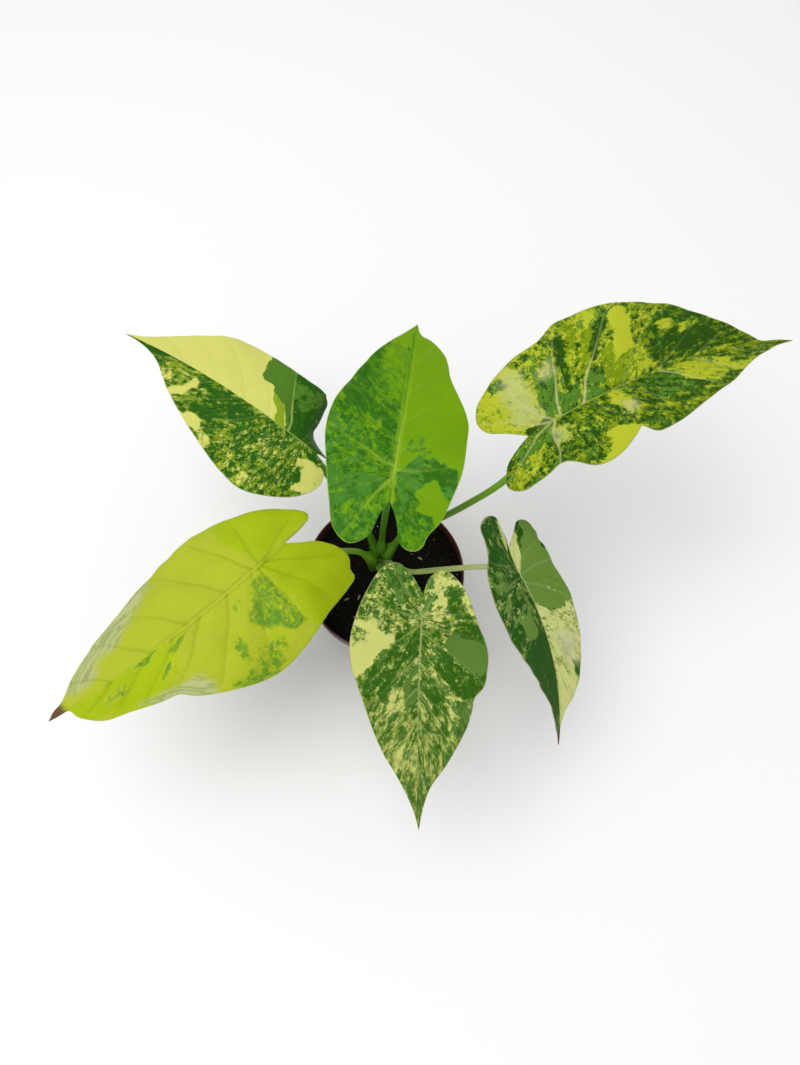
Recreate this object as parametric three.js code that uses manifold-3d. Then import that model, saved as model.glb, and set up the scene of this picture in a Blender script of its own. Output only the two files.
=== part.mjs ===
// A young variegated elephant-ear plant, Alocasia gageana, in a 10.5 cm nursery pot.
// Units are millimetres and +Z is up. The origin is the centre of the pot's base.
// Six leaves stand round a short stem, each on its own stalk, in a pot filled with soil.
import * as THREE from 'three';
import { mergeVertices } from 'three/addons/utils/BufferGeometryUtils.js';
import Module from 'manifold-3d';

const wasm = await Module();
wasm.setup();

// Driving dimensions of the pot and its soil
const POT_HEIGHT = 92;
const POT_TOP_RADIUS = 52.5;
const POT_BASE_RADIUS = 37.5;
const POT_WALL = 1.2;
const POT_TAPER = 13.2;
const COLLAR_HEIGHT = 11;
const COLLAR_DRAFT = 0.4;
const COLLAR_SLOPE = 2;
const RIM_ROUND = 0.5;
const BASE_CHAMFER = 1.2;
const DRAIN_RADIUS = 3.5;
const DRAIN_CIRCLE = 25;
const DRAIN_COUNT = 8;
const SOIL_TOP = 84;
const SOIL_GAP = 0.5;
const CLOD_COUNT = 90;
const CLOD_HEIGHT = 1.6;
const CLOD_REACH = [4, 10];
const HOLLOW_SHARE = 0.35;

// Driving dimensions of the plant
const STEM_CENTRE = [-3, 8];
const STEM_RADIUS = 3.8;
const STEM_TOP = 100;
const STEM_SHOULDER = 7;
const PLANTED_DEPTH = 10;
const FOOT_CIRCLE = 8.2;
const FOOT_RADIUS = 2.9;
const HOLE_GAP = 0.5;
const BLADE_THICKNESS = 0.8;
const MIDRIB_DEPTH = 1.8;
const MIDRIB_HALF_WIDTH = 2;
const STALK_END = 9;
const STALK_END_RADIUS = 1.2;
const SHEATH_SHARE = 0.3;
const VEIN_LEAN = 2.2;

// How finely the round and curved pieces are split
const POT_SIDES = 40;
const PIN_SIDES = 14;
const SOIL_RINGS = 9;
const BLADE_STEPS = 30;
const BLADE_ROWS = [0.35, 0.68, 1];
const SPINE_STEPS = 40;
const STALK_SIDES = 8;
const STALK_STEPS = 18;

const DEGREE = Math.PI / 180;

// One entry per leaf. The hub is where the stalk meets the blade. Heading, pitch and roll turn
// the blade: pitch lowers the tip, roll raises the left side. Droop and swerve bend the midrib
// over its length, lobeDroop and lobeSwerve bend the part behind the hub. Fold is the slope of
// each half at the midrib and arch is how far it turns down towards its edge. A wave is
// [height, length, place of a crest]. An edge runs from the tip round to the notch between the
// lobes, as [distance ahead of the hub, distance from the midrib] on the flat leaf.
const HALF_WIDTH = 40;
const LOBE_REACH = 45;
const LEAVES = [
  {
    name: 'leaf_back_left',
    hub: [-48, 54, 176], heading: 142, pitch: -8, roll: 0,
    length: 142, notch: 11,
    droop: 22, swerve: 6.6, lobeDroop: 22, lobeSwerve: 0,
    fold: 2, arch: 24,
    wave: { left: [3, 55, 10], right: [3, 55, 30] },
    curl: { side: 'right', from: 14, over: 26, angle: 125, margin: 15 },
    edge: {
      left: [[126, 2], [110, 7], [90, 20], [60, 34], [30, 43], [11, 46], [-5, 38], [-20, 25.5],
        [-25, 13], [-20, 4]],
      right: [[127, 4], [98, 21], [74, 34], [55, 37], [30, 35.5], [12, 37], [-4, 35],
        [-16, 26], [-21, 14], [-17, 4]],
    },
    foot: 140, stalkRadius: 2.3,
    stalk: [[-8, 16, 110], [-12, 20, 125], [-23, 30, 147]],
    colour: '#7f9a35',
  },
  {
    name: 'leaf_back',
    hub: [7, 18, 212], heading: 82.3, pitch: 4, roll: 0,
    length: 116, notch: 17,
    droop: 18, swerve: 1, lobeDroop: 20, lobeSwerve: 0,
    fold: 8, arch: 16,
    wave: { left: [2.5, 52, 40], right: [2.5, 52, 62] },
    edge: {
      left: [[108, 5], [94, 15], [80, 24], [62, 33], [40, 40], [24, 42], [2, 38], [-19, 33],
        [-36, 28], [-43, 19], [-38, 9], [-26, 4.5]],
      right: [[107, 2.2], [103, 4.6], [99.5, 9.5], [86, 19.5], [66, 24.5], [54, 30], [39, 37],
        [23, 37.5], [4, 37], [-11, 33.3], [-26, 28.5], [-35, 22.5], [-41, 20.5], [-43.5, 15],
        [-40.5, 9], [-28, 5]],
    },
    foot: 84, stalkRadius: 2.4,
    stalk: [[-1, 17, 120], [2, 18, 160], [4, 17, 192]],
    colour: '#5f9420',
  },
  {
    name: 'leaf_back_right',
    hub: [99, 54, 206], heading: 28.4, pitch: -10, roll: 0,
    length: 162.5, notch: 19,
    droop: 30, swerve: -13, lobeDroop: 26, lobeSwerve: 0,
    fold: 22, arch: 22,
    wave: { left: [2.5, 60, 0], right: [5, 54, 37] },
    edge: {
      left: [[150, 1.2], [137, 2], [118, 14], [103, 24], [87, 37], [64, 43.5], [41, 51.5], [27, 53],
        [12, 44.5], [-8, 41.5], [-24, 37], [-34, 31], [-38.5, 23], [-37, 15.5], [-28, 8]],
      right: [[150, 2.8], [122, 12.5], [100, 23.6], [76, 31], [56, 36], [40, 38.3], [36, 31],
        [29, 34.5], [17, 38.5], [1, 37], [-11, 27.5], [-22, 29], [-37, 27.5], [-43.5, 20],
        [-38, 9.5], [-27, 3]],
    },
    foot: 30, stalkRadius: 2.5,
    stalk: [[7, 14, 110], [13, 15, 126], [26, 15, 141], [48, 19, 161], [73, 28, 184]],
    colour: '#8fa832',
  },
  {
    name: 'leaf_front_left',
    hub: [-73, -21, 165], heading: -136.5, pitch: 4, roll: 0,
    length: 148, notch: 22,
    droop: 14, swerve: -16.3, lobeDroop: 20, lobeSwerve: 0,
    fold: -2, arch: 22,
    wave: { left: [2.5, 60, 0], right: [2.5, 60, 20] },
    edge: {
      left: [[143, 0.2], [134, 1], [130.5, 7], [118, 17], [103, 21], [86, 26.3], [76, 29],
        [68, 36.5], [46, 49], [28, 54], [5, 54], [-18, 47], [-36, 43.5], [-43.5, 41], [-43.5, 36],
        [-47, 31], [-47.5, 25], [-39, 12], [-29, 5]],
      right: [[143, 3.6], [137, 5.4], [132.5, 9], [125, 15.5], [105, 27.3], [80, 34.5], [60, 43],
        [49, 47.2], [38, 47.5], [10, 45.2], [-4, 42.5], [-12, 38.5], [-26, 29.5], [-37, 18.5],
        [-43, 12], [-45.5, 7.5], [-36, 2]],
    },
    foot: 195, stalkRadius: 2.3,
    stalk: [[-11, 7, 101], [-15, 7, 113], [-23, 4, 124], [-46, -6, 146]],
    colour: '#a6b82c',
  },
  {
    name: 'leaf_front',
    hub: [22, -56, 178], heading: -93.1, pitch: 26, roll: 0,
    length: 130, notch: 15,
    droop: 18, swerve: 4.4, lobeDroop: 24, lobeSwerve: 0,
    fold: 10, arch: 18,
    wave: { left: [2.5, 56, 42], right: [2.5, 56, 0] },
    edge: {
      left: [[115, 2.6], [100, 7], [82, 17.5], [63, 26.5], [50, 30], [42, 31], [36, 35.8],
        [28, 37.5], [15, 37.3], [0, 31.2], [-12, 26.3], [-22, 20], [-28, 11], [-24, 3.5]],
      right: [[115, 3], [96, 10], [74, 21], [46, 31], [27, 38], [12, 39], [-5, 35], [-18, 29.5],
        [-28, 23], [-31, 15], [-25, 7]],
    },
    foot: 284, stalkRadius: 2.2,
    stalk: [[0, -6, 107], [7, -25, 137]],
    colour: '#7d9a46',
  },
  {
    name: 'leaf_front_right',
    hub: [81, -21, 152], heading: -56.3, pitch: 24, roll: -26,
    length: 110, notch: 17,
    droop: 24, swerve: -24.3, lobeDroop: 14, lobeSwerve: 60,
    fold: 18, arch: 18,
    wave: { left: [2, 56, 20], right: [2, 56, 0] },
    edge: {
      left: [[97, 0.8], [90, 3.5], [81, 10.3], [70, 16], [58, 21], [45, 24.6], [25, 25.2],
        [8, 23.8], [-9, 25.4], [-22, 22], [-33, 20.5], [-41, 15], [-37.5, 9], [-27, 6]],
      right: [[100, 4], [92, 7], [84, 9.3], [62, 22], [40, 31], [18, 34.8], [4, 36], [-6, 31],
        [-15, 23], [-21, 21.7], [-26, 23.3], [-32, 16], [-33, 8], [-26, 1.5]],
    },
    foot: 338, stalkRadius: 1.7,
    stalk: [[7, 1, 104], [17, -8, 119], [35, -11, 132], [62, -14, 146]],
    colour: '#9aa65a',
  },
];

// A repeatable stream of numbers from 0 to 1
function seededRandom(seed) {
  let state = seed;
  return () => {
    state = (state * 1664525 + 1013904223) % 4294967296;
    return state / 4294967296;
  };
}

// Rises from 0 to 1 with level ends
function ease(x) {
  const held = THREE.MathUtils.clamp(x, 0, 1);
  return held * held * (3 - 2 * held);
}

// A closed mesh as a solid that can be joined and cut
function toSolid(geometry) {
  geometry.deleteAttribute('normal');
  geometry.deleteAttribute('uv');
  const merged = mergeVertices(geometry, 1e-4);
  const index = merged.index.array;
  const kept = [];
  for (let i = 0; i < index.length; i += 3) {
    const [a, b, c] = index.slice(i, i + 3);
    if (a !== b && b !== c && c !== a) kept.push(a, b, c);
  }
  return new wasm.Manifold(new wasm.Mesh({
    numProp: 3,
    vertProperties: new Float32Array(merged.attributes.position.array),
    triVerts: new Uint32Array(kept),
  }));
}

function toMesh(name, solid, look) {
  const { vertProperties, triVerts } = solid.getMesh();
  const geometry = new THREE.BufferGeometry();
  geometry.setAttribute('position', new THREE.BufferAttribute(vertProperties, 3));
  geometry.setIndex(new THREE.BufferAttribute(triVerts, 1));
  geometry.computeVertexNormals();
  const mesh = new THREE.Mesh(geometry, new THREE.MeshStandardMaterial(look));
  mesh.name = name;
  return mesh;
}

// Quads added to a list of corner positions
function addQuad(positions, ...corners) {
  const [a, b, c, d] = corners;
  for (const point of [a, b, c, a, c, d]) positions.push(...point.toArray());
}

function fromPositions(positions) {
  const geometry = new THREE.BufferGeometry();
  geometry.setAttribute('position', new THREE.Float32BufferAttribute(positions, 3));
  return geometry;
}

// A profile of [radius, height] points turned round the Z axis
function turned(profile, sides) {
  const points = profile.map(([radius, height]) => new THREE.Vector2(radius, height));
  return new THREE.LatheGeometry(points, sides).rotateX(Math.PI / 2);
}

function uprightPin(radius, low, high, [x, y]) {
  const profile = [[0, low], [radius, low], [radius, high], [0, high]];
  return toSolid(turned(profile, PIN_SIDES).translate(x, y, 0));
}

// The pot: a thin tapered cup with a wider collar and round drain holes in its base

function potRadius(height) {
  return POT_BASE_RADIUS + POT_TAPER * height / POT_HEIGHT;
}

const collarLow = POT_HEIGHT - COLLAR_HEIGHT;
const collarInner = POT_TOP_RADIUS - POT_WALL - COLLAR_DRAFT;
const stepLow = collarLow - COLLAR_SLOPE / 3;
const innerWall = [
  [potRadius(POT_WALL) - POT_WALL, POT_WALL],
  [potRadius(collarLow) - POT_WALL, stepLow],
  [collarInner, stepLow + COLLAR_SLOPE],
];

function makePot() {
  let pot = toSolid(turned([
    [0, 0],
    [POT_BASE_RADIUS - BASE_CHAMFER, 0],
    [POT_BASE_RADIUS, BASE_CHAMFER],
    [potRadius(collarLow), collarLow - COLLAR_SLOPE],
    [POT_TOP_RADIUS - COLLAR_DRAFT, collarLow],
    [POT_TOP_RADIUS, POT_HEIGHT - RIM_ROUND],
    [POT_TOP_RADIUS - RIM_ROUND, POT_HEIGHT],
    [POT_TOP_RADIUS - POT_WALL, POT_HEIGHT],
    [collarInner, POT_HEIGHT - RIM_ROUND],
    ...innerWall.toReversed(),
    [0, POT_WALL],
  ], POT_SIDES));
  for (let i = 0; i < DRAIN_COUNT; i += 1) {
    const angle = 2 * Math.PI * i / DRAIN_COUNT;
    const centre = [DRAIN_CIRCLE * Math.cos(angle), DRAIN_CIRCLE * Math.sin(angle)];
    pot = pot.subtract(uprightPin(DRAIN_RADIUS, -POT_WALL, 2 * POT_WALL, centre));
  }
  return toMesh('pot', pot, { color: '#7a3b28', roughness: 0.5, metalness: 0 });
}

// The soil: it fills the pot to a lumpy top, with a plain hole for the stem and each stalk

function footCentre(angle) {
  const [x, y] = STEM_CENTRE;
  return [
    x + FOOT_CIRCLE * Math.cos(angle * DEGREE),
    y + FOOT_CIRCLE * Math.sin(angle * DEGREE),
  ];
}

// Low rounded clods and hollows, scattered over the soil's top by a repeatable draw
function scatterClods(edge) {
  const random = seededRandom(11);
  const [least, most] = CLOD_REACH;
  return Array.from({ length: CLOD_COUNT }, () => {
    const angle = 2 * Math.PI * random();
    const distance = edge * Math.sqrt(random());
    return {
      centre: new THREE.Vector2(distance * Math.cos(angle), distance * Math.sin(angle)),
      reach: least + (most - least) * random(),
      height: CLOD_HEIGHT * (random() - HOLLOW_SHARE),
    };
  });
}

function makeSoil() {
  const edge = collarInner - SOIL_GAP;
  const floor = POT_WALL + SOIL_GAP;
  const wall = innerWall.map(([radius, height]) => [radius - SOIL_GAP, Math.max(height, floor)]);
  const top = Array.from({ length: SOIL_RINGS }, (_, i) => [edge * (1 - i / SOIL_RINGS), SOIL_TOP]);
  const body = turned([[0, floor], ...wall, ...top, [0, SOIL_TOP]], POT_SIDES);

  const clods = scatterClods(edge);
  const position = body.attributes.position;
  const place = new THREE.Vector2();
  for (let i = 0; i < position.count; i += 1) {
    place.set(position.getX(i), position.getY(i));
    const onTop = position.getZ(i) > SOIL_TOP - SOIL_GAP;
    if (!onTop || place.length() > edge - SOIL_GAP) continue;
    const lift = clods.reduce((sum, { centre, reach, height }) => (
      sum + height * ease(1 - place.distanceTo(centre) / reach)
    ), 0);
    position.setZ(i, SOIL_TOP + lift);
  }

  const holeFloor = SOIL_TOP - PLANTED_DEPTH;
  const holeTop = SOIL_TOP + PLANTED_DEPTH;
  let soil = toSolid(body);
  soil = soil.subtract(uprightPin(STEM_RADIUS + HOLE_GAP, holeFloor, holeTop, STEM_CENTRE));
  for (const { foot } of LEAVES) {
    const centre = footCentre(foot);
    soil = soil.subtract(uprightPin(FOOT_RADIUS + HOLE_GAP, holeFloor, holeTop, centre));
  }
  return toMesh('soil', soil, { color: '#2a1a12', roughness: 0.95, metalness: 0 });
}

// The stem: a short blunt stub that the stalks stand round

function makeStem() {
  const low = SOIL_TOP - PLANTED_DEPTH + SOIL_GAP;
  const profile = [
    [0, low],
    [STEM_RADIUS, low],
    [STEM_RADIUS, SOIL_TOP + STEM_SHOULDER / 2],
    [STEM_RADIUS * 0.85, STEM_TOP - STEM_SHOULDER],
    [STEM_RADIUS * 0.55, STEM_TOP - STEM_SHOULDER / 4],
    [0, STEM_TOP],
  ];
  const [x, y] = STEM_CENTRE;
  const stem = toSolid(turned(profile, PIN_SIDES).translate(x, y, 0));
  return toMesh('stem', stem, { color: '#3f5a1c', roughness: 0.6, metalness: 0 });
}

// The leaves

// The frame that a blade is built in: x ahead along the midrib, y to the left, z up
function bladeFrame({ hub, heading, pitch, roll }) {
  const [h, p, r] = [heading * DEGREE, pitch * DEGREE, roll * DEGREE];
  const ahead = new THREE.Vector3(
    Math.cos(h) * Math.cos(p),
    Math.sin(h) * Math.cos(p),
    -Math.sin(p),
  );
  const left = new THREE.Vector3(-Math.sin(h), Math.cos(h), 0);
  const up = new THREE.Vector3().crossVectors(ahead, left);
  left.applyAxisAngle(ahead, r);
  up.applyAxisAngle(ahead, r);
  return new THREE.Matrix4().makeBasis(ahead, left, up).setPosition(...hub);
}

// How far the midrib's line has turned down and aside at a distance from the hub, in radians
function midribTurn(leaf, s) {
  if (s > 0) return [leaf.droop, leaf.swerve].map((angle) => angle * DEGREE * s / leaf.length);
  return [leaf.lobeDroop, leaf.lobeSwerve].map((angle) => angle * DEGREE * s / LOBE_REACH);
}

function direction(down, aside) {
  return new THREE.Vector3(
    Math.cos(down) * Math.cos(aside),
    Math.cos(down) * Math.sin(aside),
    -Math.sin(down),
  );
}

// The place and direction of the line that runs along the blade at one side of the midrib.
// A curled lobe is rolled under behind curl.from, and not at all at the midrib itself.
function alongBlade(leaf, s, curlShare) {
  const place = new THREE.Vector3();
  const step = s / SPINE_STEPS;
  for (let i = 0; i < SPINE_STEPS; i += 1) {
    place.addScaledVector(direction(...midribTurn(leaf, (i + 0.5) * step)), step);
  }
  let [down, aside] = midribTurn(leaf, s);
  if (curlShare > 0 && s < leaf.curl.from) {
    const { from, over, angle } = leaf.curl;
    const rolled = (x) => angle * DEGREE * curlShare * Math.min((from - x) / over, 1);
    const curlStep = (s - from) / SPINE_STEPS;
    for (let i = 0; i < SPINE_STEPS; i += 1) {
      const x = from + (i + 0.5) * curlStep;
      const [flatDown, flatAside] = midribTurn(leaf, x);
      place.addScaledVector(direction(flatDown - rolled(x), flatAside), curlStep);
      place.addScaledVector(direction(flatDown, flatAside), -curlStep);
    }
    down -= rolled(s);
  }
  return { place, down, aside };
}

// Where a point of the flat leaf comes to lie: s ahead of the hub, t to the left of the midrib
function bladePoint(leaf, s, t) {
  const side = t >= 0 ? 'left' : 'right';
  const width = Math.abs(t);
  const curlShare = leaf.curl?.side === side ? ease(width / leaf.curl.margin) : 0;
  const { place, down, aside } = alongBlade(leaf, s, curlShare);
  const across = new THREE.Vector3(-Math.sin(aside), Math.cos(aside), 0);
  const up = direction(down, aside).cross(across);

  const fold = leaf.fold * DEGREE;
  const curvature = -leaf.arch * DEGREE / HALF_WIDTH;
  const slope = fold + curvature * width;
  const lateral = (Math.sin(slope) - Math.sin(fold)) / curvature;
  const [height, length, crest] = leaf.wave[side];
  const wave = height * (width / HALF_WIDTH) ** 2 * Math.cos(2 * Math.PI * (s - crest) / length);
  const rise = (Math.cos(fold) - Math.cos(slope)) / curvature + wave;
  place.addScaledVector(across, Math.sign(t) * lateral).addScaledVector(up, rise);
  return place.applyMatrix4(leaf.frame);
}

function bladeNormal(leaf, s, t) {
  const reach = 0.5;
  const ahead = bladePoint(leaf, s + reach, t).sub(bladePoint(leaf, s - reach, t));
  const left = bladePoint(leaf, s, t + reach).sub(bladePoint(leaf, s, t - reach));
  return ahead.cross(left).normalize();
}

// The midrib stands out below the blade, deepest at the hub and gone at the tip and notch
function midribDepth(leaf, s) {
  const share = s > 0 ? 1 - s / leaf.length : 1 + s / leaf.notch;
  return MIDRIB_DEPTH * Math.max(share, 0) ** 0.8;
}

// One half of the blade as a net of points, each with a place above and one below. A line of
// the net leaves the midrib and leans towards the tip, as the side veins do. Both faces are
// split along the same diagonals, so that they never cross where the blade is waved.
function halfBlade(leaf, side) {
  const sign = side === 'left' ? 1 : -1;
  const corners = [[leaf.length, 0], ...leaf.edge[side], [-leaf.notch, 0]];
  const curve = new THREE.CatmullRomCurve3(
    corners.map(([s, t]) => new THREE.Vector3(s, t, 0)),
    false,
    'centripetal',
  );
  return curve.getSpacedPoints(BLADE_STEPS).map((edge, i) => {
    const toNotch = (1 - i / BLADE_STEPS) ** VEIN_LEAN;
    const root = new THREE.Vector3((leaf.length + leaf.notch) * toNotch - leaf.notch, 0, 0);
    const ribShare = Math.min(MIDRIB_HALF_WIDTH / Math.max(root.distanceTo(edge), 1), 0.25);
    return [0, ribShare, ...BLADE_ROWS].map((share) => {
      const flat = root.clone().lerp(edge, share);
      const place = bladePoint(leaf, flat.x, sign * flat.y);
      const normal = bladeNormal(leaf, flat.x, sign * flat.y);
      const depth = BLADE_THICKNESS / 2 + (share === 0 ? midribDepth(leaf, flat.x) : 0);
      return {
        above: place.clone().addScaledVector(normal, BLADE_THICKNESS / 2),
        below: place.clone().addScaledVector(normal, -depth),
      };
    });
  });
}

function bladeSolid(leaf) {
  const positions = [];
  for (const side of ['left', 'right']) {
    const net = halfBlade(leaf, side);
    const add = (a, b, c, d) => {
      if (side === 'left') addQuad(positions, a, b, c, d);
      else addQuad(positions, d, c, b, a);
    };
    for (let i = 0; i < BLADE_STEPS; i += 1) {
      const [here, next] = [net[i], net[i + 1]];
      const last = here.length - 1;
      for (let j = 0; j < last; j += 1) {
        add(here[j].above, here[j + 1].above, next[j + 1].above, next[j].above);
        add(here[j].below, next[j].below, next[j + 1].below, here[j + 1].below);
      }
      add(here[last].below, next[last].below, next[last].above, here[last].above);
    }
  }
  return toSolid(fromPositions(positions));
}

// A stalk: it leaves its hole upright, bends out to its blade and runs on below the midrib
function stalkSolid(leaf) {
  const [x, y] = footCentre(leaf.foot);
  const low = SOIL_TOP - PLANTED_DEPTH + SOIL_GAP;
  const below = (s, depth) => (
    bladePoint(leaf, s, 0).addScaledVector(bladeNormal(leaf, s, 0), -depth)
  );
  const path = new THREE.CatmullRomCurve3([
    new THREE.Vector3(x, y, low),
    new THREE.Vector3(x, y, (low + SOIL_TOP) / 2),
    new THREE.Vector3(x, y, SOIL_TOP + 3),
    ...leaf.stalk.map((point) => new THREE.Vector3(...point)),
    below(-4, leaf.stalkRadius + 2),
    below(STALK_END, STALK_END_RADIUS),
  ], false, 'centripetal');
  const { normals, binormals } = path.computeFrenetFrames(STALK_STEPS, false);
  const taperFrom = 0.88;
  const rings = normals.map((normal, i) => {
    const share = i / STALK_STEPS;
    const sheath = ease(1 - share / SHEATH_SHARE);
    const body = leaf.stalkRadius + (FOOT_RADIUS - leaf.stalkRadius) * sheath;
    const taper = ease((share - taperFrom) / (1 - taperFrom));
    const radius = body + (STALK_END_RADIUS - body) * taper;
    const centre = path.getPointAt(share);
    const ring = Array.from({ length: STALK_SIDES }, (_, j) => {
      const angle = 2 * Math.PI * j / STALK_SIDES;
      return centre.clone()
        .addScaledVector(normal, radius * Math.cos(angle))
        .addScaledVector(binormals[i], radius * Math.sin(angle));
    });
    return { centre, ring };
  });
  const positions = [];
  const first = rings[0];
  const last = rings[STALK_STEPS];
  for (let j = 0; j < STALK_SIDES; j += 1) {
    const k = (j + 1) % STALK_SIDES;
    for (let i = 0; i < STALK_STEPS; i += 1) {
      const [here, next] = [rings[i].ring, rings[i + 1].ring];
      addQuad(positions, here[j], here[k], next[k], next[j]);
    }
    addQuad(positions, first.centre, first.ring[k], first.ring[j], first.centre);
    addQuad(positions, last.centre, last.ring[j], last.ring[k], last.centre);
  }
  return toSolid(fromPositions(positions));
}

function makeLeaf(entry) {
  const leaf = { ...entry, frame: bladeFrame(entry) };
  const solid = bladeSolid(leaf).add(stalkSolid(leaf));
  return toMesh(leaf.name, solid, { color: leaf.colour, roughness: 0.45, metalness: 0 });
}

const group = new THREE.Group();
group.add(makePot(), makeSoil(), makeStem(), ...LEAVES.map(makeLeaf));

export default group;
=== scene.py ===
"""A young variegated elephant-ear plant in a 10.5 cm nursery pot, dressed over its solids."""
import math

import bmesh
import bpy
import numpy as np
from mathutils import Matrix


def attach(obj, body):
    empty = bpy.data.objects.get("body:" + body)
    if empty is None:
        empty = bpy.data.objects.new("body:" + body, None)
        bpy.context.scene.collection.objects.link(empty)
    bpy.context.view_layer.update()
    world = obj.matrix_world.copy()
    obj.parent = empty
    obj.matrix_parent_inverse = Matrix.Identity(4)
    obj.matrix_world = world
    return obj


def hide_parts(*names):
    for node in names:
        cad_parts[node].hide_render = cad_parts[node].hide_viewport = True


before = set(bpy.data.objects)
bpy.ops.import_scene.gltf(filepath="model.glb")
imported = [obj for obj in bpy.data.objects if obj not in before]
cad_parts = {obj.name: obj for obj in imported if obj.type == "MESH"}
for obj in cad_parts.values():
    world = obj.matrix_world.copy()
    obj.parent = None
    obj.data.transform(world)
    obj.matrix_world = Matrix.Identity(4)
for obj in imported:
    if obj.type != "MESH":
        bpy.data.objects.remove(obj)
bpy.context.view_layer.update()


# The pot. A thin-walled nursery pot of moulded red-brown plastic, with a wider collar at the
# top for stacking and eight drain holes in the flat base that it stands on. Sizes are in
# millimetres, and MM turns them into metres.

MM = 0.001
POT_HEIGHT = 92
POT_TOP_RADIUS = 52.5
POT_BASE_RADIUS = 37.5
POT_TAPER = 13.2
POT_WALL = 1.2
POT_SIDES = 144
POT_CREASE = 40
COLLAR_LOW = 81
COLLAR_SLOPE = 2
COLLAR_DRAFT = 0.4
CORNER_RADII = [1.4, 0.5, 0.6, 0.55, 0.55, 0.6, 0.5, 0.5, 0.8]
CORNER_STEPS = 4
COLLAR_FACE_RADII = (50.8, 51.2)
DARKENING_ABOVE = (30, 50)
DRAIN_RADIUS = 3.5
DRAIN_CIRCLE = 25
DRAIN_COUNT = 8
DRAIN_SIDES = 40
AXIS_RADIUS = 1e-6
MERGE_WITHIN = 2e-7
SPECK_SIZE = 1e-8
MIX_UNDER, MIX_OVER, MIX_RESULT = 6, 7, 2


class Tone:
    """A shader socket that can be used in sums with numbers and other sockets."""

    def __init__(self, finish, socket):
        self.finish = finish
        self.socket = socket

    def maths(self, operation, *values):
        return self.finish.add("ShaderNodeMath", dict(enumerate(values)), operation=operation)

    def __add__(self, other):
        return self.maths("ADD", self, other)

    def __radd__(self, other):
        return self.maths("ADD", other, self)

    def __sub__(self, other):
        return self.maths("SUBTRACT", self, other)

    def __rsub__(self, other):
        return self.maths("SUBTRACT", other, self)

    def __mul__(self, other):
        return self.maths("MULTIPLY", self, other)

    def __rmul__(self, other):
        return self.maths("MULTIPLY", other, self)

    def __abs__(self):
        return self.maths("ABSOLUTE", self)

    def rise(self, low, high):
        """0 below low, 1 above high, and a smooth step between them."""
        values = {"Value": self, "From Min": low, "From Max": high}
        return self.finish.add("ShaderNodeMapRange", values, interpolation_type="SMOOTHSTEP")


def wire(tree, socket, value):
    """Sets a socket to a value, or links another socket or a Tone to it."""
    value = value.socket if isinstance(value, Tone) else value
    if isinstance(value, bpy.types.NodeSocket):
        tree.links.new(value, socket)
    else:
        socket.default_value = value


def add_node(tree, kind, values=(), output=0, **settings):
    """Any node: its settings are made first, then its sockets are set or linked."""
    node = tree.nodes.new(kind)
    for name, setting in settings.items():
        setattr(node, name, setting)
    for name, value in dict(values).items():
        wire(tree, node.inputs[name], value)
    return node.outputs[output]


class Finish:
    """One procedural material, whose maths is written with Tones."""

    def __init__(self, name, gloss):
        self.material = bpy.data.materials.new(name)
        self.material.use_nodes = True
        self.tree = self.material.node_tree
        self.shader = self.tree.nodes["Principled BSDF"]
        self.feed("Specular IOR Level", gloss)

    def feed(self, socket, value):
        wire(self.tree, self.shader.inputs[socket], value)

    def add(self, kind, values=(), output=0, **settings):
        return Tone(self, add_node(self.tree, kind, values, output, **settings))

    def place(self):
        return self.add("ShaderNodeTexCoord", output="Object")

    def parts(self, vector):
        first = self.add("ShaderNodeSeparateXYZ", {0: vector})
        return [Tone(self, socket) for socket in first.socket.node.outputs]

    def stretched(self, vector, scale):
        return self.add("ShaderNodeVectorMath", {0: vector, 1: scale}, operation="MULTIPLY")

    def noise(self, where, scale, detail=3, roughness=0.5, distortion=0):
        """Cloudy noise from about -1 to 1, centred on 0."""
        values = {"Vector": where, "Scale": scale, "Detail": detail,
                  "Roughness": roughness, "Distortion": distortion}
        return 3 * (self.add("ShaderNodeTexNoise", values) - 0.5)

    def blend(self, colour, *layers):
        """A colour with others laid over it, each of them a share and a colour."""
        for share, over in layers:
            values = {0: share, MIX_UNDER: paint(colour), MIX_OVER: paint(over)}
            colour = self.add("ShaderNodeMix", values, MIX_RESULT, data_type="RGBA")
        return colour

    def shade(self, colour, factor):
        """A colour made lighter or darker by a factor near 1."""
        return self.add("ShaderNodeVectorMath", {0: colour, "Scale": factor}, operation="SCALE")

    def cover(self, colour, roughness, relief, depth):
        """What the surface shows, with a small relief that has a depth in metres."""
        self.feed("Base Color", colour)
        self.feed("Roughness", roughness)
        bumped = self.add("ShaderNodeBump", {"Height": relief, "Distance": depth}, "Normal")
        self.feed("Normal", bumped)


def paint(colour):
    """A shader's colour from one that is written as on a paint chart, and others as they are."""
    if not isinstance(colour, str):
        return colour
    channels = [int(colour[i:i + 2], 16) / 255 for i in (1, 3, 5)]
    return tuple(
        c / 12.92 if c <= 0.04045 else ((c + 0.055) / 1.055) ** 2.4 for c in channels
    ) + (1.0,)


def eased(profile, radii):
    """A profile whose corners are rounded, each by its own radius."""
    made = [profile[0]]
    for before, corner, after, radius in zip(profile, profile[1:], profile[2:], radii):
        before, corner, after = (np.array(p, float) for p in (before, corner, after))
        start, end = (corner + (p - corner) / np.linalg.norm(p - corner) * radius
                      for p in (before, after))
        for share in np.linspace(0, 1, CORNER_STEPS + 1):
            made.append((1 - share) ** 2 * start + 2 * share * (1 - share) * corner
                        + share ** 2 * end)
    return np.array(made + [profile[-1]], float)


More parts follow.
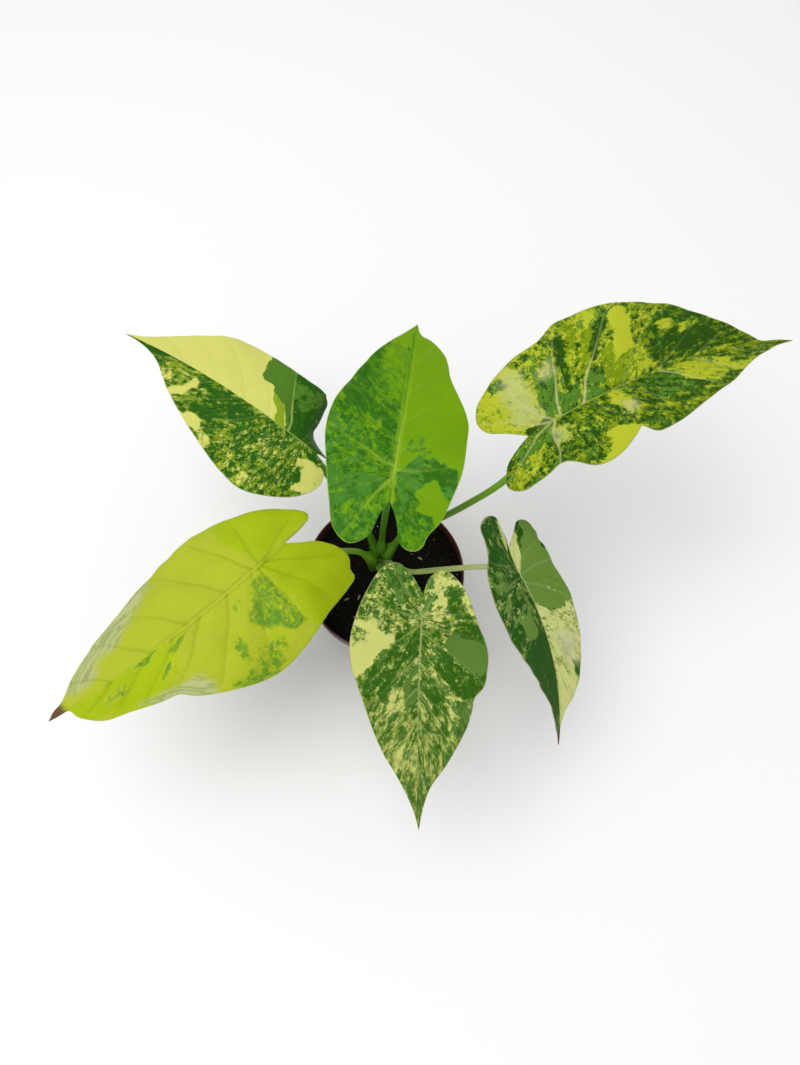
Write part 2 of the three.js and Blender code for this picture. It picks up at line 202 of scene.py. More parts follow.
def turned(profile, sides):
    """The points and faces of a profile of (radius, height) that is turned round the Z axis."""
    angles = np.arange(sides) * 2 * math.pi / sides
    points, rings, faces = [], [], []
    for radius, height in profile:
        count = 1 if radius < AXIS_RADIUS else sides
        rings.append([len(points) + k % count for k in range(sides + 1)])
        points += [(radius * math.cos(a), radius * math.sin(a), height) for a in angles[:count]]
    for low, high in zip(rings, rings[1:]):
        for k in range(sides):
            corners = [low[k], low[k + 1], high[k + 1], high[k]]
            faces.append(tuple(dict.fromkeys(corners)))
    return np.array(points), [face for face in faces if len(face) > 2]


def place_piece(name, points, faces, marks=()):
    """An object from points in millimetres, with named values on its points to be read later."""
    mesh = bpy.data.meshes.new(name)
    mesh.from_pydata((np.asarray(points) * MM).tolist(), [], faces)
    for mark, rows in dict(marks).items():
        kind, key = ("FLOAT", "value") if np.ndim(rows) == 1 else ("FLOAT_VECTOR", "vector")
        layer = mesh.attributes.new(mark, kind, "POINT")
        layer.data.foreach_set(key, np.asarray(rows, np.float32).ravel())
    piece = bpy.data.objects.new(name, mesh)
    bpy.context.scene.collection.objects.link(piece)
    return piece


def build(name, points, faces, finish=None, crease=180, marks=()):
    """A closed piece, its faces turned outwards and shaded smooth up to its crease angle."""
    piece = place_piece(name, points, faces, marks)
    mesh, shell = piece.data, bmesh.new()
    shell.from_mesh(mesh)
    bmesh.ops.remove_doubles(shell, verts=shell.verts, dist=MERGE_WITHIN)
    bmesh.ops.dissolve_degenerate(shell, edges=shell.edges, dist=SPECK_SIZE)
    bmesh.ops.recalc_face_normals(shell, faces=shell.faces)
    shell.to_mesh(mesh)
    shell.free()
    mesh.polygons.foreach_set("use_smooth", [True] * len(mesh.polygons))
    mesh.set_sharp_from_angle(angle=math.radians(crease))
    if finish:
        mesh.materials.append(finish.material)
    return piece


def settle(piece):
    """Works a piece's modifiers into its mesh, so that none is left."""
    bpy.context.view_layer.update()
    worked = piece.evaluated_get(bpy.context.evaluated_depsgraph_get())
    mesh = bpy.data.meshes.new_from_object(worked)
    piece.modifiers.clear()
    piece.data = mesh


def pot_radius(height):
    return POT_BASE_RADIUS + POT_TAPER * height / POT_HEIGHT


pot_plastic = Finish("pot_plastic", 0.45)
where = pot_plastic.place()
x, y, z = pot_plastic.parts(where)
clouds = pot_plastic.noise(where, 45, detail=4, roughness=0.6)
streaks = pot_plastic.noise(pot_plastic.stretched(where, (900, 900, 60)), 1, detail=2)
scuffs = pot_plastic.noise(where, 260, detail=5, roughness=0.7, distortion=0.6).rise(0.75, 1.1)
# Cloudy patches that darken and roughen the pot from 30 to 50 mm up, on all of it but the outer face of
# its collar, so inside the pot and under the collar.
dark_clouds = pot_plastic.noise(where, 90, detail=5, roughness=0.65).rise(0.1, 1.2)
collar_face = (x * x + y * y).rise(*((radius * MM) ** 2 for radius in COLLAR_FACE_RADII))
darker_patches = (1 - collar_face) * z.rise(*(height * MM for height in DARKENING_ABOVE)) * dark_clouds
colour = pot_plastic.blend(
    "#4a2017",
    (clouds.rise(-1, 1), "#5c2b20"),
    (0.1 * streaks.rise(-0.4, 1), "#80503f"),
    (0.25 * scuffs, "#94695a"),
    (0.35 + 0.4 * darker_patches, "#24120c"),
)
roughness = 0.42 + 0.07 * clouds + 0.25 * darker_patches + 0.2 * scuffs
pot_plastic.cover(colour, roughness, 0.4 * streaks + clouds + 0.5 * scuffs, 0.00012)

collar_inner = POT_TOP_RADIUS - POT_WALL - COLLAR_DRAFT
step_low = COLLAR_LOW - COLLAR_SLOPE / 3
pot_corners = [
    (0, 0),
    (POT_BASE_RADIUS, 0),
    (pot_radius(COLLAR_LOW), COLLAR_LOW - COLLAR_SLOPE),
    (POT_TOP_RADIUS - COLLAR_DRAFT, COLLAR_LOW),
    (POT_TOP_RADIUS, POT_HEIGHT),
    (POT_TOP_RADIUS - POT_WALL, POT_HEIGHT),
    (collar_inner, POT_HEIGHT - 3 * POT_WALL),
    (collar_inner, step_low + COLLAR_SLOPE),
    (pot_radius(COLLAR_LOW) - POT_WALL, step_low),
    (pot_radius(POT_WALL) - POT_WALL, POT_WALL),
    (0, POT_WALL),
]
pot = build("nursery_pot", *turned(eased(pot_corners, CORNER_RADII), POT_SIDES), pot_plastic)
drill_points, drill_faces = [], []
pin = [(0, -POT_WALL), (DRAIN_RADIUS, -POT_WALL), (DRAIN_RADIUS, 2 * POT_WALL), (0, 2 * POT_WALL)]
for i in range(DRAIN_COUNT):
    angle = 2 * math.pi * i / DRAIN_COUNT
    points, faces = turned(pin, DRAIN_SIDES)
    centre = (DRAIN_CIRCLE * math.cos(angle), DRAIN_CIRCLE * math.sin(angle), 0)
    drill_faces += [tuple(k + len(drill_points) for k in face) for face in faces]
    drill_points += list(points + centre)
drills = build("drills", drill_points, drill_faces)
cut = pot.modifiers.new("drain_holes", "BOOLEAN")
cut.operation = "DIFFERENCE"
cut.solver = "EXACT"
cut.object = drills
settle(pot)
bpy.data.objects.remove(drills)
pot.data.set_sharp_from_angle(angle=math.radians(POT_CREASE))
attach(pot, "root")
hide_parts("pot")


# The soil. Damp dark potting mix of peat and bark, pressed in until it fills the pot to just
# under its rim. Its top is lumpy, with the solid's clods and finer crumble on them.

SOIL_TOP = 84
SOIL_EDGE = 50.7
SOIL_FLOOR = 1.7
SOIL_SLACK = 0.1
SOIL_LEVEL_RIM = 1.2
SOIL_RINGS = 92
SOIL_SIDES = 240
SOIL_CREASE = 75
CLOD_INSET = 0.5
CLOD_SEED = 11
DRAW_FACTOR = 1664525
DRAW_SHIFT = 1013904223
DRAW_RANGE = 2 ** 32
CLOD_COUNT = 90
CLOD_HEIGHT = 1.6
CLOD_REACH = (4, 10)
HOLLOW_SHARE = 0.35
CRUMBLE_SEED = 5
CRUMBLE_COUNT = 1500
CRUMBLE_REACH = (0.9, 3.3)
CRUMBLE_SLOPE = (-0.1, 0.4)


def ease(x):
    held = np.clip(x, 0, 1)
    return held * held * (3 - 2 * held)


def clod_draw(seed):
    """A repeatable stream of numbers from 0 to 1, the same one that the solid's clods use."""
    state = seed
    while True:
        state = (state * DRAW_FACTOR + DRAW_SHIFT) % DRAW_RANGE
        yield state / DRAW_RANGE


def between(limits, share):
    return limits[0] + (limits[1] - limits[0]) * share


def mound(x, y, angle, distance, reach, height):
    """A rounded lump that stands at an angle and a distance from the pot's middle."""
    gap = np.hypot(x - distance * math.cos(angle), y - distance * math.sin(angle))
    return height * ease(1 - gap / reach)


def soil_height(x, y):
    """How far the soil's top stands above its level at each place."""
    draw = clod_draw(CLOD_SEED)
    lift = np.zeros(np.shape(x))
    for _ in range(CLOD_COUNT):
        angle = 2 * math.pi * next(draw)
        distance = (collar_inner - CLOD_INSET) * math.sqrt(next(draw))
        reach = between(CLOD_REACH, next(draw))
        lift += mound(x, y, angle, distance, reach, CLOD_HEIGHT * (next(draw) - HOLLOW_SHARE))
    crumble = np.random.default_rng(CRUMBLE_SEED)
    for _ in range(CRUMBLE_COUNT):
        angle = 2 * math.pi * crumble.random()
        distance = SOIL_EDGE * math.sqrt(crumble.random())
        reach = between(CRUMBLE_REACH, crumble.random() ** 2)
        lift += mound(x, y, angle, distance, reach, reach * between(CRUMBLE_SLOPE, crumble.random()))
    return lift


potting_soil = Finish("potting_soil", 0.2)
where = potting_soil.place()
grains = potting_soil.noise(where, 900, detail=4, roughness=0.7)
patches = potting_soil.noise(where, 160, detail=3)
colour = potting_soil.blend("#080604", (patches.rise(-1, 1), "#110c08"),
                            (grains.rise(0.2, 1.2), "#21170f"))
potting_soil.cover(colour, 0.88 - 0.22 * patches.rise(0, 1), grains + patches, 0.0005)

soil_profile = [(SOIL_EDGE * i / SOIL_RINGS, SOIL_TOP) for i in range(SOIL_RINGS + 1)]
soil_profile += [
    (SOIL_EDGE, step_low + COLLAR_SLOPE),
    (pot_radius(COLLAR_LOW) - POT_WALL - SOIL_SLACK, step_low),
    (pot_radius(SOIL_FLOOR) - POT_WALL - SOIL_SLACK, SOIL_FLOOR),
    (0, SOIL_FLOOR),
]
points, faces = turned(soil_profile, SOIL_SIDES)
top = points[:, 2] == SOIL_TOP
x, y = points[top, 0], points[top, 1]
points[top, 2] += ease((SOIL_EDGE - np.hypot(x, y)) / SOIL_LEVEL_RIM) * soil_height(x, y)
soil = build("soil_bed", points, faces, potting_soil, SOIL_CREASE)
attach(soil, "root")
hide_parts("soil")


# The litter. Loose crumbs of peat, chips of bark and pale grains that lie strewn over the
# soil, thinner round the stem. A tree of nodes drops them on a bed that follows the soil.
# Amounts are pieces to a square metre, and sizes are metres.

LITTER = {"Crumbs": 3.4e5, "Chips": 3.6e4, "Pale Bits": 6.0e3,
          "Crumb Size": 0.00055, "Chip Length": 0.0024, "Pale Size": 0.0007}
LITTER_EDGE = 48.6
LITTER_LIFT = 0.1
BED_RINGS = 30
BED_SIDES = 90
STEM_CENTRE = (-3, 8)
THIN_FROM = 8
THIN_OVER = 6
THIN_SHARE = 0.25
FULL_TURN = 6.3
KNOB_SCALE = 1.7
BALL_LUMPS = 1.3
CHIP_FORM = (2.0, 0.7, 0.3)
CHIP_LUMPS = 0.5


def bark_finish(name, roughness, gloss, kinds, grain, contrast, colours):
    """Peat or bark whose bits differ in colour, each with a fine grain of its own."""
    finish = Finish(name, gloss)
    where = finish.place()
    size, low, high = kinds
    share = finish.noise(where, size, detail=1).rise(low, high)
    rough = finish.noise(where, grain[0], detail=2, distortion=grain[1])
    colour = finish.blend(colours[0], (share, colours[1]))
    finish.cover(finish.shade(colour, 1 + contrast * rough), roughness, rough, 0.0002)
    return finish


crumb_brown = bark_finish("crumb_brown", 0.85, 0.2, kinds=(420, -0.8, 1), grain=(2600, 0),
                          contrast=0.3, colours=("#0a0705", "#2a1c11"))
bark_chip = bark_finish("bark_chip", 0.8, 0.3, kinds=(300, -0.6, 1.2), grain=(3200, 1.5),
                        contrast=0.35, colours=("#1a110b", "#463424"))
pale_bit = Finish("pale_bit", 0.3)
pores = pale_bit.noise(pale_bit.place(), 1900, detail=3, roughness=0.7)
pale_bit.cover(pale_bit.blend("#7d7258", (pores.rise(-1, 1), "#b5ab8a")), 0.9, pores, 0.0003)


def litter_tree():
    """Crumbs, chips and pale bits, dropped on a surface and turned at random."""
    tree = bpy.data.node_groups.new("soil_litter", "GeometryNodeTree")
    tree.interface.new_socket("Geometry", in_out="INPUT", socket_type="NodeSocketGeometry")
    for name in LITTER:
        tree.interface.new_socket(name, in_out="INPUT", socket_type="NodeSocketFloat")
    tree.interface.new_socket("Geometry", in_out="OUTPUT", socket_type="NodeSocketGeometry")
    given = tree.nodes.new("NodeGroupInput").outputs

    def node(*what, **settings):
        return add_node(tree, *what, **settings)

    def strewn(density, shape, size, least, most, seed, finish):
        bed = node("GeometryNodeInputNamedAttribute", {"Name": "bed"}, "Attribute",
                   data_type="FLOAT")
        amount = node("ShaderNodeMath", {0: given[density], 1: bed}, operation="MULTIPLY")
        dropped = node("GeometryNodeDistributePointsOnFaces",
                       {"Mesh": given["Geometry"], "Density": amount, "Seed": seed})
        turn = node("FunctionNodeRandomValue", {0: (0, 0, 0), 1: (FULL_TURN,) * 3, "Seed": seed},
                    data_type="FLOAT_VECTOR")
        grow = node("FunctionNodeRandomValue", {0: (least,) * 3, 1: (most,) * 3, "Seed": seed + 1},
                    data_type="FLOAT_VECTOR")
        scale = node("ShaderNodeVectorMath", {0: grow, "Scale": given[size]}, operation="SCALE")
        placed = node("GeometryNodeInstanceOnPoints",
                      {"Points": dropped, "Instance": shape, "Rotation": turn, "Scale": scale})
        real = node("GeometryNodeRealizeInstances", {"Geometry": placed})
        return node("GeometryNodeSetMaterial", {"Geometry": real, "Material": finish.material})

    def lumpy(shape, amount):
        knob = node("ShaderNodeTexNoise", {"Scale": KNOB_SCALE, "Detail": 1.0}, "Color")
        shift = node("ShaderNodeVectorMath", {0: knob, 1: (0.5, 0.5, 0.5)}, operation="SUBTRACT")
        scaled = node("ShaderNodeVectorMath", {0: shift, "Scale": amount}, operation="SCALE")
        return node("GeometryNodeSetPosition", {"Geometry": shape, "Offset": scaled})

    ball, stone = (
        lumpy(node("GeometryNodeMeshIcoSphere", {"Radius": 1.0, "Subdivisions": level}), BALL_LUMPS)
        for level in (1, 2)
    )
    slab = node("GeometryNodeMeshCube", {"Size": CHIP_FORM, "Vertices X": 4})
    chip = lumpy(slab, CHIP_LUMPS)
    joined = tree.nodes.new("GeometryNodeJoinGeometry")
    for kind in (
        ("Crumbs", ball, "Crumb Size", 0.3, 1.35, 3, crumb_brown),
        ("Chips", chip, "Chip Length", 0.25, 1, 8, bark_chip),
        ("Pale Bits", stone, "Pale Size", 0.3, 1, 14, pale_bit),
    ):
        tree.links.new(strewn(*kind), joined.inputs[0])
    tree.links.new(joined.outputs[0], tree.nodes.new("NodeGroupOutput").inputs[0])
    return tree


points, faces = turned([(LITTER_EDGE * i / BED_RINGS, SOIL_TOP) for i in range(BED_RINGS + 1)],
                       BED_SIDES)
points[:, 2] += soil_height(points[:, 0], points[:, 1]) + LITTER_LIFT
gap = np.hypot(points[:, 0] - STEM_CENTRE[0], points[:, 1] - STEM_CENTRE[1])
thinned = THIN_SHARE + (1 - THIN_SHARE) * ease((gap - THIN_FROM) / THIN_OVER)
litter = place_piece("soil_litter", points, faces, {"bed": thinned})
dropping = litter.modifiers.new("litter", "NODES")
dropping.node_group = litter_tree()
for item in dropping.node_group.interface.items_tree:
    if item.name in LITTER:
        dropping[item.identifier] = LITTER[item.name]
settle(litter)
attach(litter, "root")


# The pale bits of wood. Three weathered splinters, each about 4 mm long, that lie on the soil
# where the photo shows them: how far right and back from the pot's middle, and their heading.

PALE_BITS = [(-24.9, -15.6, 25), (-17, -14.3, 70), (23.6, 13.1, -30)]
BIT_HALF_LENGTH = 2.1
BIT_HALF_WIDTH = 0.75
BIT_LEVELS = [(-0.6, 0.7), (-0.1, 1.0), (0.4, 0.75)]
BIT_SIDES = 10
BIT_LIFT = 0.5
BIT_CREASE = 40

points, faces = [], []
for k, (x, y, heading) in enumerate(PALE_BITS):
    first, knobs = len(points), np.random.default_rng(k)
    height = SOIL_TOP + BIT_LIFT + soil_height(np.array([x]), np.array([y]))[0]
    turn = math.radians(heading)
    for level, width in BIT_LEVELS:
        for angle in np.arange(BIT_SIDES) * 2 * math.pi / BIT_SIDES:
            ahead = BIT_HALF_LENGTH * width * math.cos(angle) * knobs.uniform(0.85, 1.1)
            aside = BIT_HALF_WIDTH * width * math.sin(angle) * knobs.uniform(0.8, 1.15)
            points.append((x + ahead * math.cos(turn) - aside * math.sin(turn),
                           y + ahead * math.sin(turn) + aside * math.cos(turn),
                           height + level + knobs.uniform(-0.1, 0.1)))
    rings = [range(low, low + BIT_SIDES) for low in range(first, len(points), BIT_SIDES)]
    for low, high in zip(rings, rings[1:]):
        for i in range(BIT_SIDES):
            j = (i + 1) % BIT_SIDES
            faces.append((low[i], low[j], high[j], high[i]))
    faces += [tuple(rings[0]), tuple(rings[-1])]
wood_bits = build("wood_bits", points, faces, pale_bit, BIT_CREASE)
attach(wood_bits, "root")


# The stem. A short fleshy stub with its foot in the soil. The leaf stalks grow out of it and
# wrap their sheaths round it, so little more than its green tip shows.

STEM_FOOT = 74
STEM_RADIUS = 3.8
STEM_TOP = 97
STEM_GREENS = (83, 96)
STEM_SIDES = 48
STEM_CREASE = 60
STEM_ROUNDING = [0.4, 2, 2, 1]
STEM_FOLDS = 3
STEM_FOLD_DEPTH = 0.05
STEM_TWIST = 0.25

stem_skin = Finish("stem_skin", 0.4)
where = stem_skin.place()
x, y, z = stem_skin.parts(where)
grain = stem_skin.noise(stem_skin.stretched(where, (500, 500, 60)), 1, detail=3)
green = z.rise(*(height * MM for height in STEM_GREENS))
colour = stem_skin.blend("#33381a", (green, "#35600f"), (grain.rise(-0.6, 1), "#24480a"))
stem_skin.cover(colour, 0.5 + 0.1 * grain, grain, 0.0003)

stem_corners = [(0, STEM_FOOT), (STEM_RADIUS, STEM_FOOT), (STEM_RADIUS + 0.6, 88), (3.2, 94),
                (1.7, 96.6), (0, STEM_TOP)]
points, faces = turned(eased(stem_corners, STEM_ROUNDING), STEM_SIDES)
angles = np.arctan2(points[:, 1], points[:, 0])
folds = 1 + STEM_FOLD_DEPTH * np.cos(STEM_FOLDS * angles + points[:, 2] * STEM_TWIST)
points[:, :2] = points[:, :2] * folds[:, None] + STEM_CENTRE
stem = build("stem_stub", points, faces, stem_skin, STEM_CREASE)
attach(stem, "root")
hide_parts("stem")


# The leaves. Each is one fleshy stalk that widens to a sheath at its foot and carries a thin
# heart-shaped blade. Where the tissue has lost its green it is cream, in streaks and patches
# that run along the side veins. Here is how any of them grows, and the six follow.

HALF_WIDTH = 40
LOBE_REACH = 45
SPINE_STEPS = 40
CURVE_STEPS = 40
VEIN_STEPS = 24
RIPPLE_WAVES = 7
LINES_PER_VEIN = 15
LINE_CLEARANCE = 0.35
BLADE_ROWS = 54
ROW_CROWDING = 1.35
RIM_ROWS = [(0.32, 0.012), (0.1, 0.004)]
VEIN_BOW = 0.24
VEIN_SWAY = 0.7
SWAY_LENGTHS = (20, 50)
SWAY_HOLD = (8, 10)
SHORTEST_LINE = 1e-6
NO_DIVISOR = 1e-9
BLADE_HALF = 0.36
MARGIN_ROUND = 0.5
MARGIN_SHARE = 0.08
RELIEF_FADE = (9, 2)
PUFF_HEIGHT = 0.55
PUFF_REACH = 5
PUFF_SINK = 0.35
CHANNEL_DEPTH = 0.3
CHANNEL_WIDTH = 0.8
KEEL_CHANNEL = (0.45, 0.2)
KEEL_WIDTH = 1.2
WAVE_HEIGHT = 0.2
WAVE_LENGTHS = (14, 34)
WAVE_FADE = 6
FRILL_LENGTHS = (9, 18)
FRILL_FADE = (7, 9)
RIB_DEPTH = 0.3
RIB_WIDTH = 0.6
RIB_FADE = (12, 1)
MIDRIB_DEPTH = 1.8
MIDRIB_HALF = (0.9, 2.2)
PATCH_WANDER = 0.9
PATCH_LENGTHS = (7, 22)
DRYING_OVER = 5
LEAF_TONE = 0.8
FOOT_CIRCLE = 5.6
FOOT_RADIUS = 3.0
STALK_LOW = 74.5
STALK_UPRIGHT = 3
STALK_BEND = (-4, 2)
STALK_END = 9
STALK_END_RADIUS = 1.2
STALK_RINGS = 90
STALK_SIDES = 24
SHEATH_SHARE = 0.3
THIN_AFTER = 0.88
WING_FADE = (6, 8)
WEB_FADE = (15, 6)
FOOT_SHADE = 26
LIP_ANGLE = 0.75
LIP_WIDTH = 0.3
LIP_HEIGHT = 1.1
HOLLOW_DEPTH = 0.9
HOLLOW_SPREAD = 0.35
END_SHARE = 0.25
GRAIN_ROUND = 2
GRAIN_ALONG = 0.12
HABIT = dict(roll=0, lobe_swerve=0, curl=None, vein_strength=0.12, groove=0, strokes=0.4,
             papery=[], papery_share=0, papery_colour="#d8d89a", creases=0)


def direction(down, aside):
    return np.stack(
        [np.cos(down) * np.cos(aside), np.cos(down) * np.sin(aside), -np.sin(down)], -1
    )


def midrib_turn(leaf, s):
    """How far the midrib has turned down and aside in radians, at s ahead of the hub."""
    ahead = s > 0
    down = np.where(ahead, leaf["droop"] / leaf["length"], leaf["lobe_droop"] / LOBE_REACH)
    aside = np.where(ahead, leaf["swerve"] / leaf["length"], leaf["lobe_swerve"] / LOBE_REACH)
    return np.radians(down * s), np.radians(aside * s)


def added_up(start, end, way):
    """How far a line comes from start to end, from its direction at many small steps."""
    step = (end - start) / SPINE_STEPS
    return sum(way(start + (i + 0.5) * step) * step[..., None] for i in range(SPINE_STEPS))


def blade_point(leaf, s, t):
    """Where places of the flat leaf come to lie, as on the solid: they are s ahead of the hub,
    where the stalk meets the blade, and t to the left of the midrib.
    """
    s, t = np.asarray(s, float), np.asarray(t, float)
    width = np.abs(t)
    place = added_up(0, s, lambda x: direction(*midrib_turn(leaf, x)))
    down, aside = midrib_turn(leaf, s)
    if leaf["curl"]:
        start, over, angle, margin = leaf["curl"]
        share = np.where(t < 0, ease(width / margin), 0) * math.radians(angle)

        def change(x):
            flat_down, flat_aside = midrib_turn(leaf, x)
            rolled = share * np.minimum((start - x) / over, 1)
            return direction(flat_down - rolled, flat_aside) - direction(flat_down, flat_aside)

        place = place + added_up(start, np.minimum(s, start), change)
        down = down - share * np.clip((start - s) / over, 0, 1)
    across = direction(0 * aside, aside + math.pi / 2)
    up = np.cross(direction(down, aside), across)
    fold = math.radians(leaf["fold"])
    curvature = -math.radians(leaf["arch"]) / HALF_WIDTH
    slope = fold + curvature * width
    lateral = (np.sin(slope) - math.sin(fold)) / curvature
    height, length, crest = (np.where(t >= 0, *pair) for pair in zip(*leaf["wave"]))
    wave = height * (width / HALF_WIDTH) ** 2 * np.cos(2 * math.pi * (s - crest) / length)
    rise = (math.cos(fold) - np.cos(slope)) / curvature + wave
    place = place + across * (np.sign(t) * lateral)[..., None] + up * rise[..., None]
    heading, pitch, roll = (math.radians(leaf[key]) for key in ("heading", "pitch", "roll"))
    ahead = direction(pitch, heading)
    level = np.array([-math.sin(heading), math.cos(heading), 0])
    over = np.cross(ahead, level)
    left = level * math.cos(roll) + over * math.sin(roll)
    upward = over * math.cos(roll) - level * math.sin(roll)
    return np.array(leaf["hub"]) + place @ np.array([ahead, left, upward])


def blade_normal(leaf, s, t, reach=0.4):
    ahead = blade_point(leaf, s + reach, t) - blade_point(leaf, s - reach, t)
    left = blade_point(leaf, s, t + reach) - blade_point(leaf, s, t - reach)
    normal = np.cross(ahead, left)
    return normal / np.linalg.norm(normal, axis=-1, keepdims=True)


def curve_through(knots):
    """A smooth line through knots, as the solid's outlines and stalks are drawn."""
    knots = np.asarray(knots, float)
    knots = np.vstack([2 * knots[0] - knots[1], knots, 2 * knots[-1] - knots[-2]])
    drawn = []
    for back, start, end, on in zip(knots, knots[1:], knots[2:], knots[3:]):
        before, span, after = (
            np.linalg.norm(b - a) ** 0.5 for a, b in ((back, start), (start, end), (end, on))
        )
        leave = ((start - back) / before - (end - back) / (before + span)
                 + (end - start) / span) * span
        arrive = ((end - start) / span - (on - start) / (span + after) + (on - end) / after) * span
        x = np.linspace(0, 1, CURVE_STEPS, endpoint=False)[:, None]
        drawn.append(start + leave * x + (3 * (end - start) - 2 * leave - arrive) * x ** 2
                     + (2 * (start - end) + leave + arrive) * x ** 3)
    return np.vstack([*drawn, knots[-2]])


def run_of(line):
    """The distance along a line to each of its points."""
    return np.concatenate([[0], np.cumsum(np.linalg.norm(np.diff(line, axis=0), axis=1))])


def along(line, distances):
    run = run_of(line)
    return np.stack([np.interp(distances, run, column) for column in line.T], -1)


def gap_to_line(s, t, line):
    """The distance of each place from a line of the flat leaf."""
    nearest = np.full(np.shape(s), 1e9)
    for (s0, t0), (s1, t1) in zip(line, line[1:]):
        ds, dt = s1 - s0, t1 - t0
        size = max(ds * ds + dt * dt, NO_DIVISOR)
        share = np.clip(((s - s0) * ds + (t - t0) * dt) / size, 0, 1)
        nearest = np.minimum(nearest, np.hypot(s - s0 - share * ds, t - t0 - share * dt))
    return nearest


def inside_depth(s, t, corners):
    """How deep each place lies inside an outline through the corners, below 0 outside it."""
    inside = np.zeros(np.shape(s), bool)
    for (s0, t0), (s1, t1) in zip(corners, corners[1:] + corners[:1]):
        crosses = (t0 > t) != (t1 > t)
        dt = t1 - t0 if t1 != t0 else NO_DIVISOR
        inside ^= crosses & (s < (s1 - s0) * (t - t0) / dt + s0)
    gap = gap_to_line(s, t, corners + corners[:1])
    return np.where(inside, gap, -gap)


def ridge(gap, width):
    """1 on a line, falling to nothing over a width to both sides of it."""
    return np.exp(-(gap / width) ** 2)


def ripple(s, t, seed, least, most):
    """Gentle uneven waves over the flat leaf, from about -1 to 1."""
    draw = np.random.default_rng(seed)
    total = 0
    for _ in range(RIPPLE_WAVES):
        turn, phase = draw.uniform(0, 2 * math.pi, 2)
        length = draw.uniform(least, most)
        run = s * math.cos(turn) + t * math.sin(turn)
        total = total + np.sin(2 * math.pi * run / length + phase)
    return total / math.sqrt(RIPPLE_WAVES)


def side_vein(root, end):
    """A side vein of the flat leaf: it leaves the midrib and bends a little to the tip."""
    root, end = np.array([root, 0.0]), np.asarray(end, float)
    way = end - root
    share = np.linspace(0, 1, VEIN_STEPS + 1)[:, None]
    bow = VEIN_BOW * max(way[0], 0) * share * (1 - share)
    return root + way * share - bow * np.array([1, 0])


def swayed(leaf, line, root, edge):
    """A line from the midrib to the margin that wanders a little in between, as veins do."""
    s, t = line[..., 0], line[..., 1]
    hold = VEIN_SWAY * ease(np.hypot(s - root, t) / SWAY_HOLD[0])
    hold = hold * ease(np.linalg.norm(line - edge, axis=-1) / SWAY_HOLD[1])
    aside = [hold * ripple(s, t, leaf["seed"] + k, *SWAY_LENGTHS) for k in (5, 6)]
    return line + np.stack(aside, -1)


def vein_starts(leaf, side):
    """The places on the midrib of the notch, of one side's veins and of the tip."""
    return [-leaf["notch"], *(root for root, _, _ in leaf["veins"][side]), leaf["length"]]


def half_net(leaf, side, roots):
    """One half of the blade as a net: flat places, and the vein phase of each of its lines."""
    sign = 1 if side == "left" else -1
    margin = curve_through([(leaf["length"], 0), *leaf[side], (-leaf["notch"], 0)])
    run, veins = run_of(margin), leaf["veins"][side]
    ends = [run[np.argmin(np.hypot(*(margin - np.array(end)).T))] for _, end, _ in veins]
    ends = [run[-1], *ends, 0]
    phase = np.interp(roots, vein_starts(leaf, side), range(len(ends)))
    edges = along(margin, np.interp(phase, range(len(ends)), ends))
    coarse = np.linspace(0, 1, BLADE_ROWS + 1) ** ROW_CROWDING
    lines = []
    for root, edge in zip(roots, edges):
        size = max(math.hypot(edge[0] - root, edge[1]), SHORTEST_LINE)
        rim = [1 - min(gap, share * size) / size for gap, share in RIM_ROWS]
        shares = np.concatenate([coarse[:-1] * min(1, rim[0] - 0.01), rim, [1]])
        line = side_vein(root, edge)
        lines.append(swayed(leaf, along(line, shares * run_of(line)[-1]), root, edge))
    net = np.array(lines)
    s, t = net[..., 0], net[..., 1]
    gaps = []
    for (root, _, _), end in zip(veins, ends[1:-1]):
        edge = along(margin, np.array([end]))[0]
        gaps.append(gap_to_line(s, t, swayed(leaf, side_vein(root, edge), root, edge)))
    near = np.min(gaps, axis=0)
    vein = np.array([strength for _, _, strength in veins])[np.argmin(gaps, axis=0)]
    edge_gap = np.linalg.norm(net - edges[:, None], axis=-1)
    return s, sign * t, np.broadcast_to(phase[:, None], s.shape), near, vein, edge_gap


def on_side(corners, side):
    return (sum(corner[1] for corner in corners) > 0) == (side == "left")


def tissue_of(leaf, side, s, t):
    """The green of the upper and lower tissue over a half, and where it is papery or dry."""
    upper, lower = (np.full(np.shape(s), float(level)) for level in leaf["ground"][side])
    s_bent, t_bent = (
        place + PATCH_WANDER * ripple(s, t, leaf["seed"] + k, *PATCH_LENGTHS)
        for k, place in ((2, s), (3, t))
    )
    for high, low, soft, corners in leaf["patches"]:
        if on_side(corners, side):
            share = ease(0.5 + inside_depth(s_bent, t_bent, corners) / soft)
            upper += share * (high - upper)
            lower += share * (low - lower)
    papery = np.zeros(np.shape(s))
    for soft, corners in leaf["papery"]:
        if on_side(corners, side):
            papery = np.maximum(papery, ease(0.5 + inside_depth(s_bent, t_bent, corners) / soft))
    return upper, lower, papery, ease((s_bent - leaf["dry_from"]) / DRYING_OVER)


def faded(edge_gap, gap, reach):
    """1 on the open blade, falling to 0 at the margin and at the midrib over its two reaches."""
    return ease(edge_gap / reach[0]) * ease(gap / reach[1])


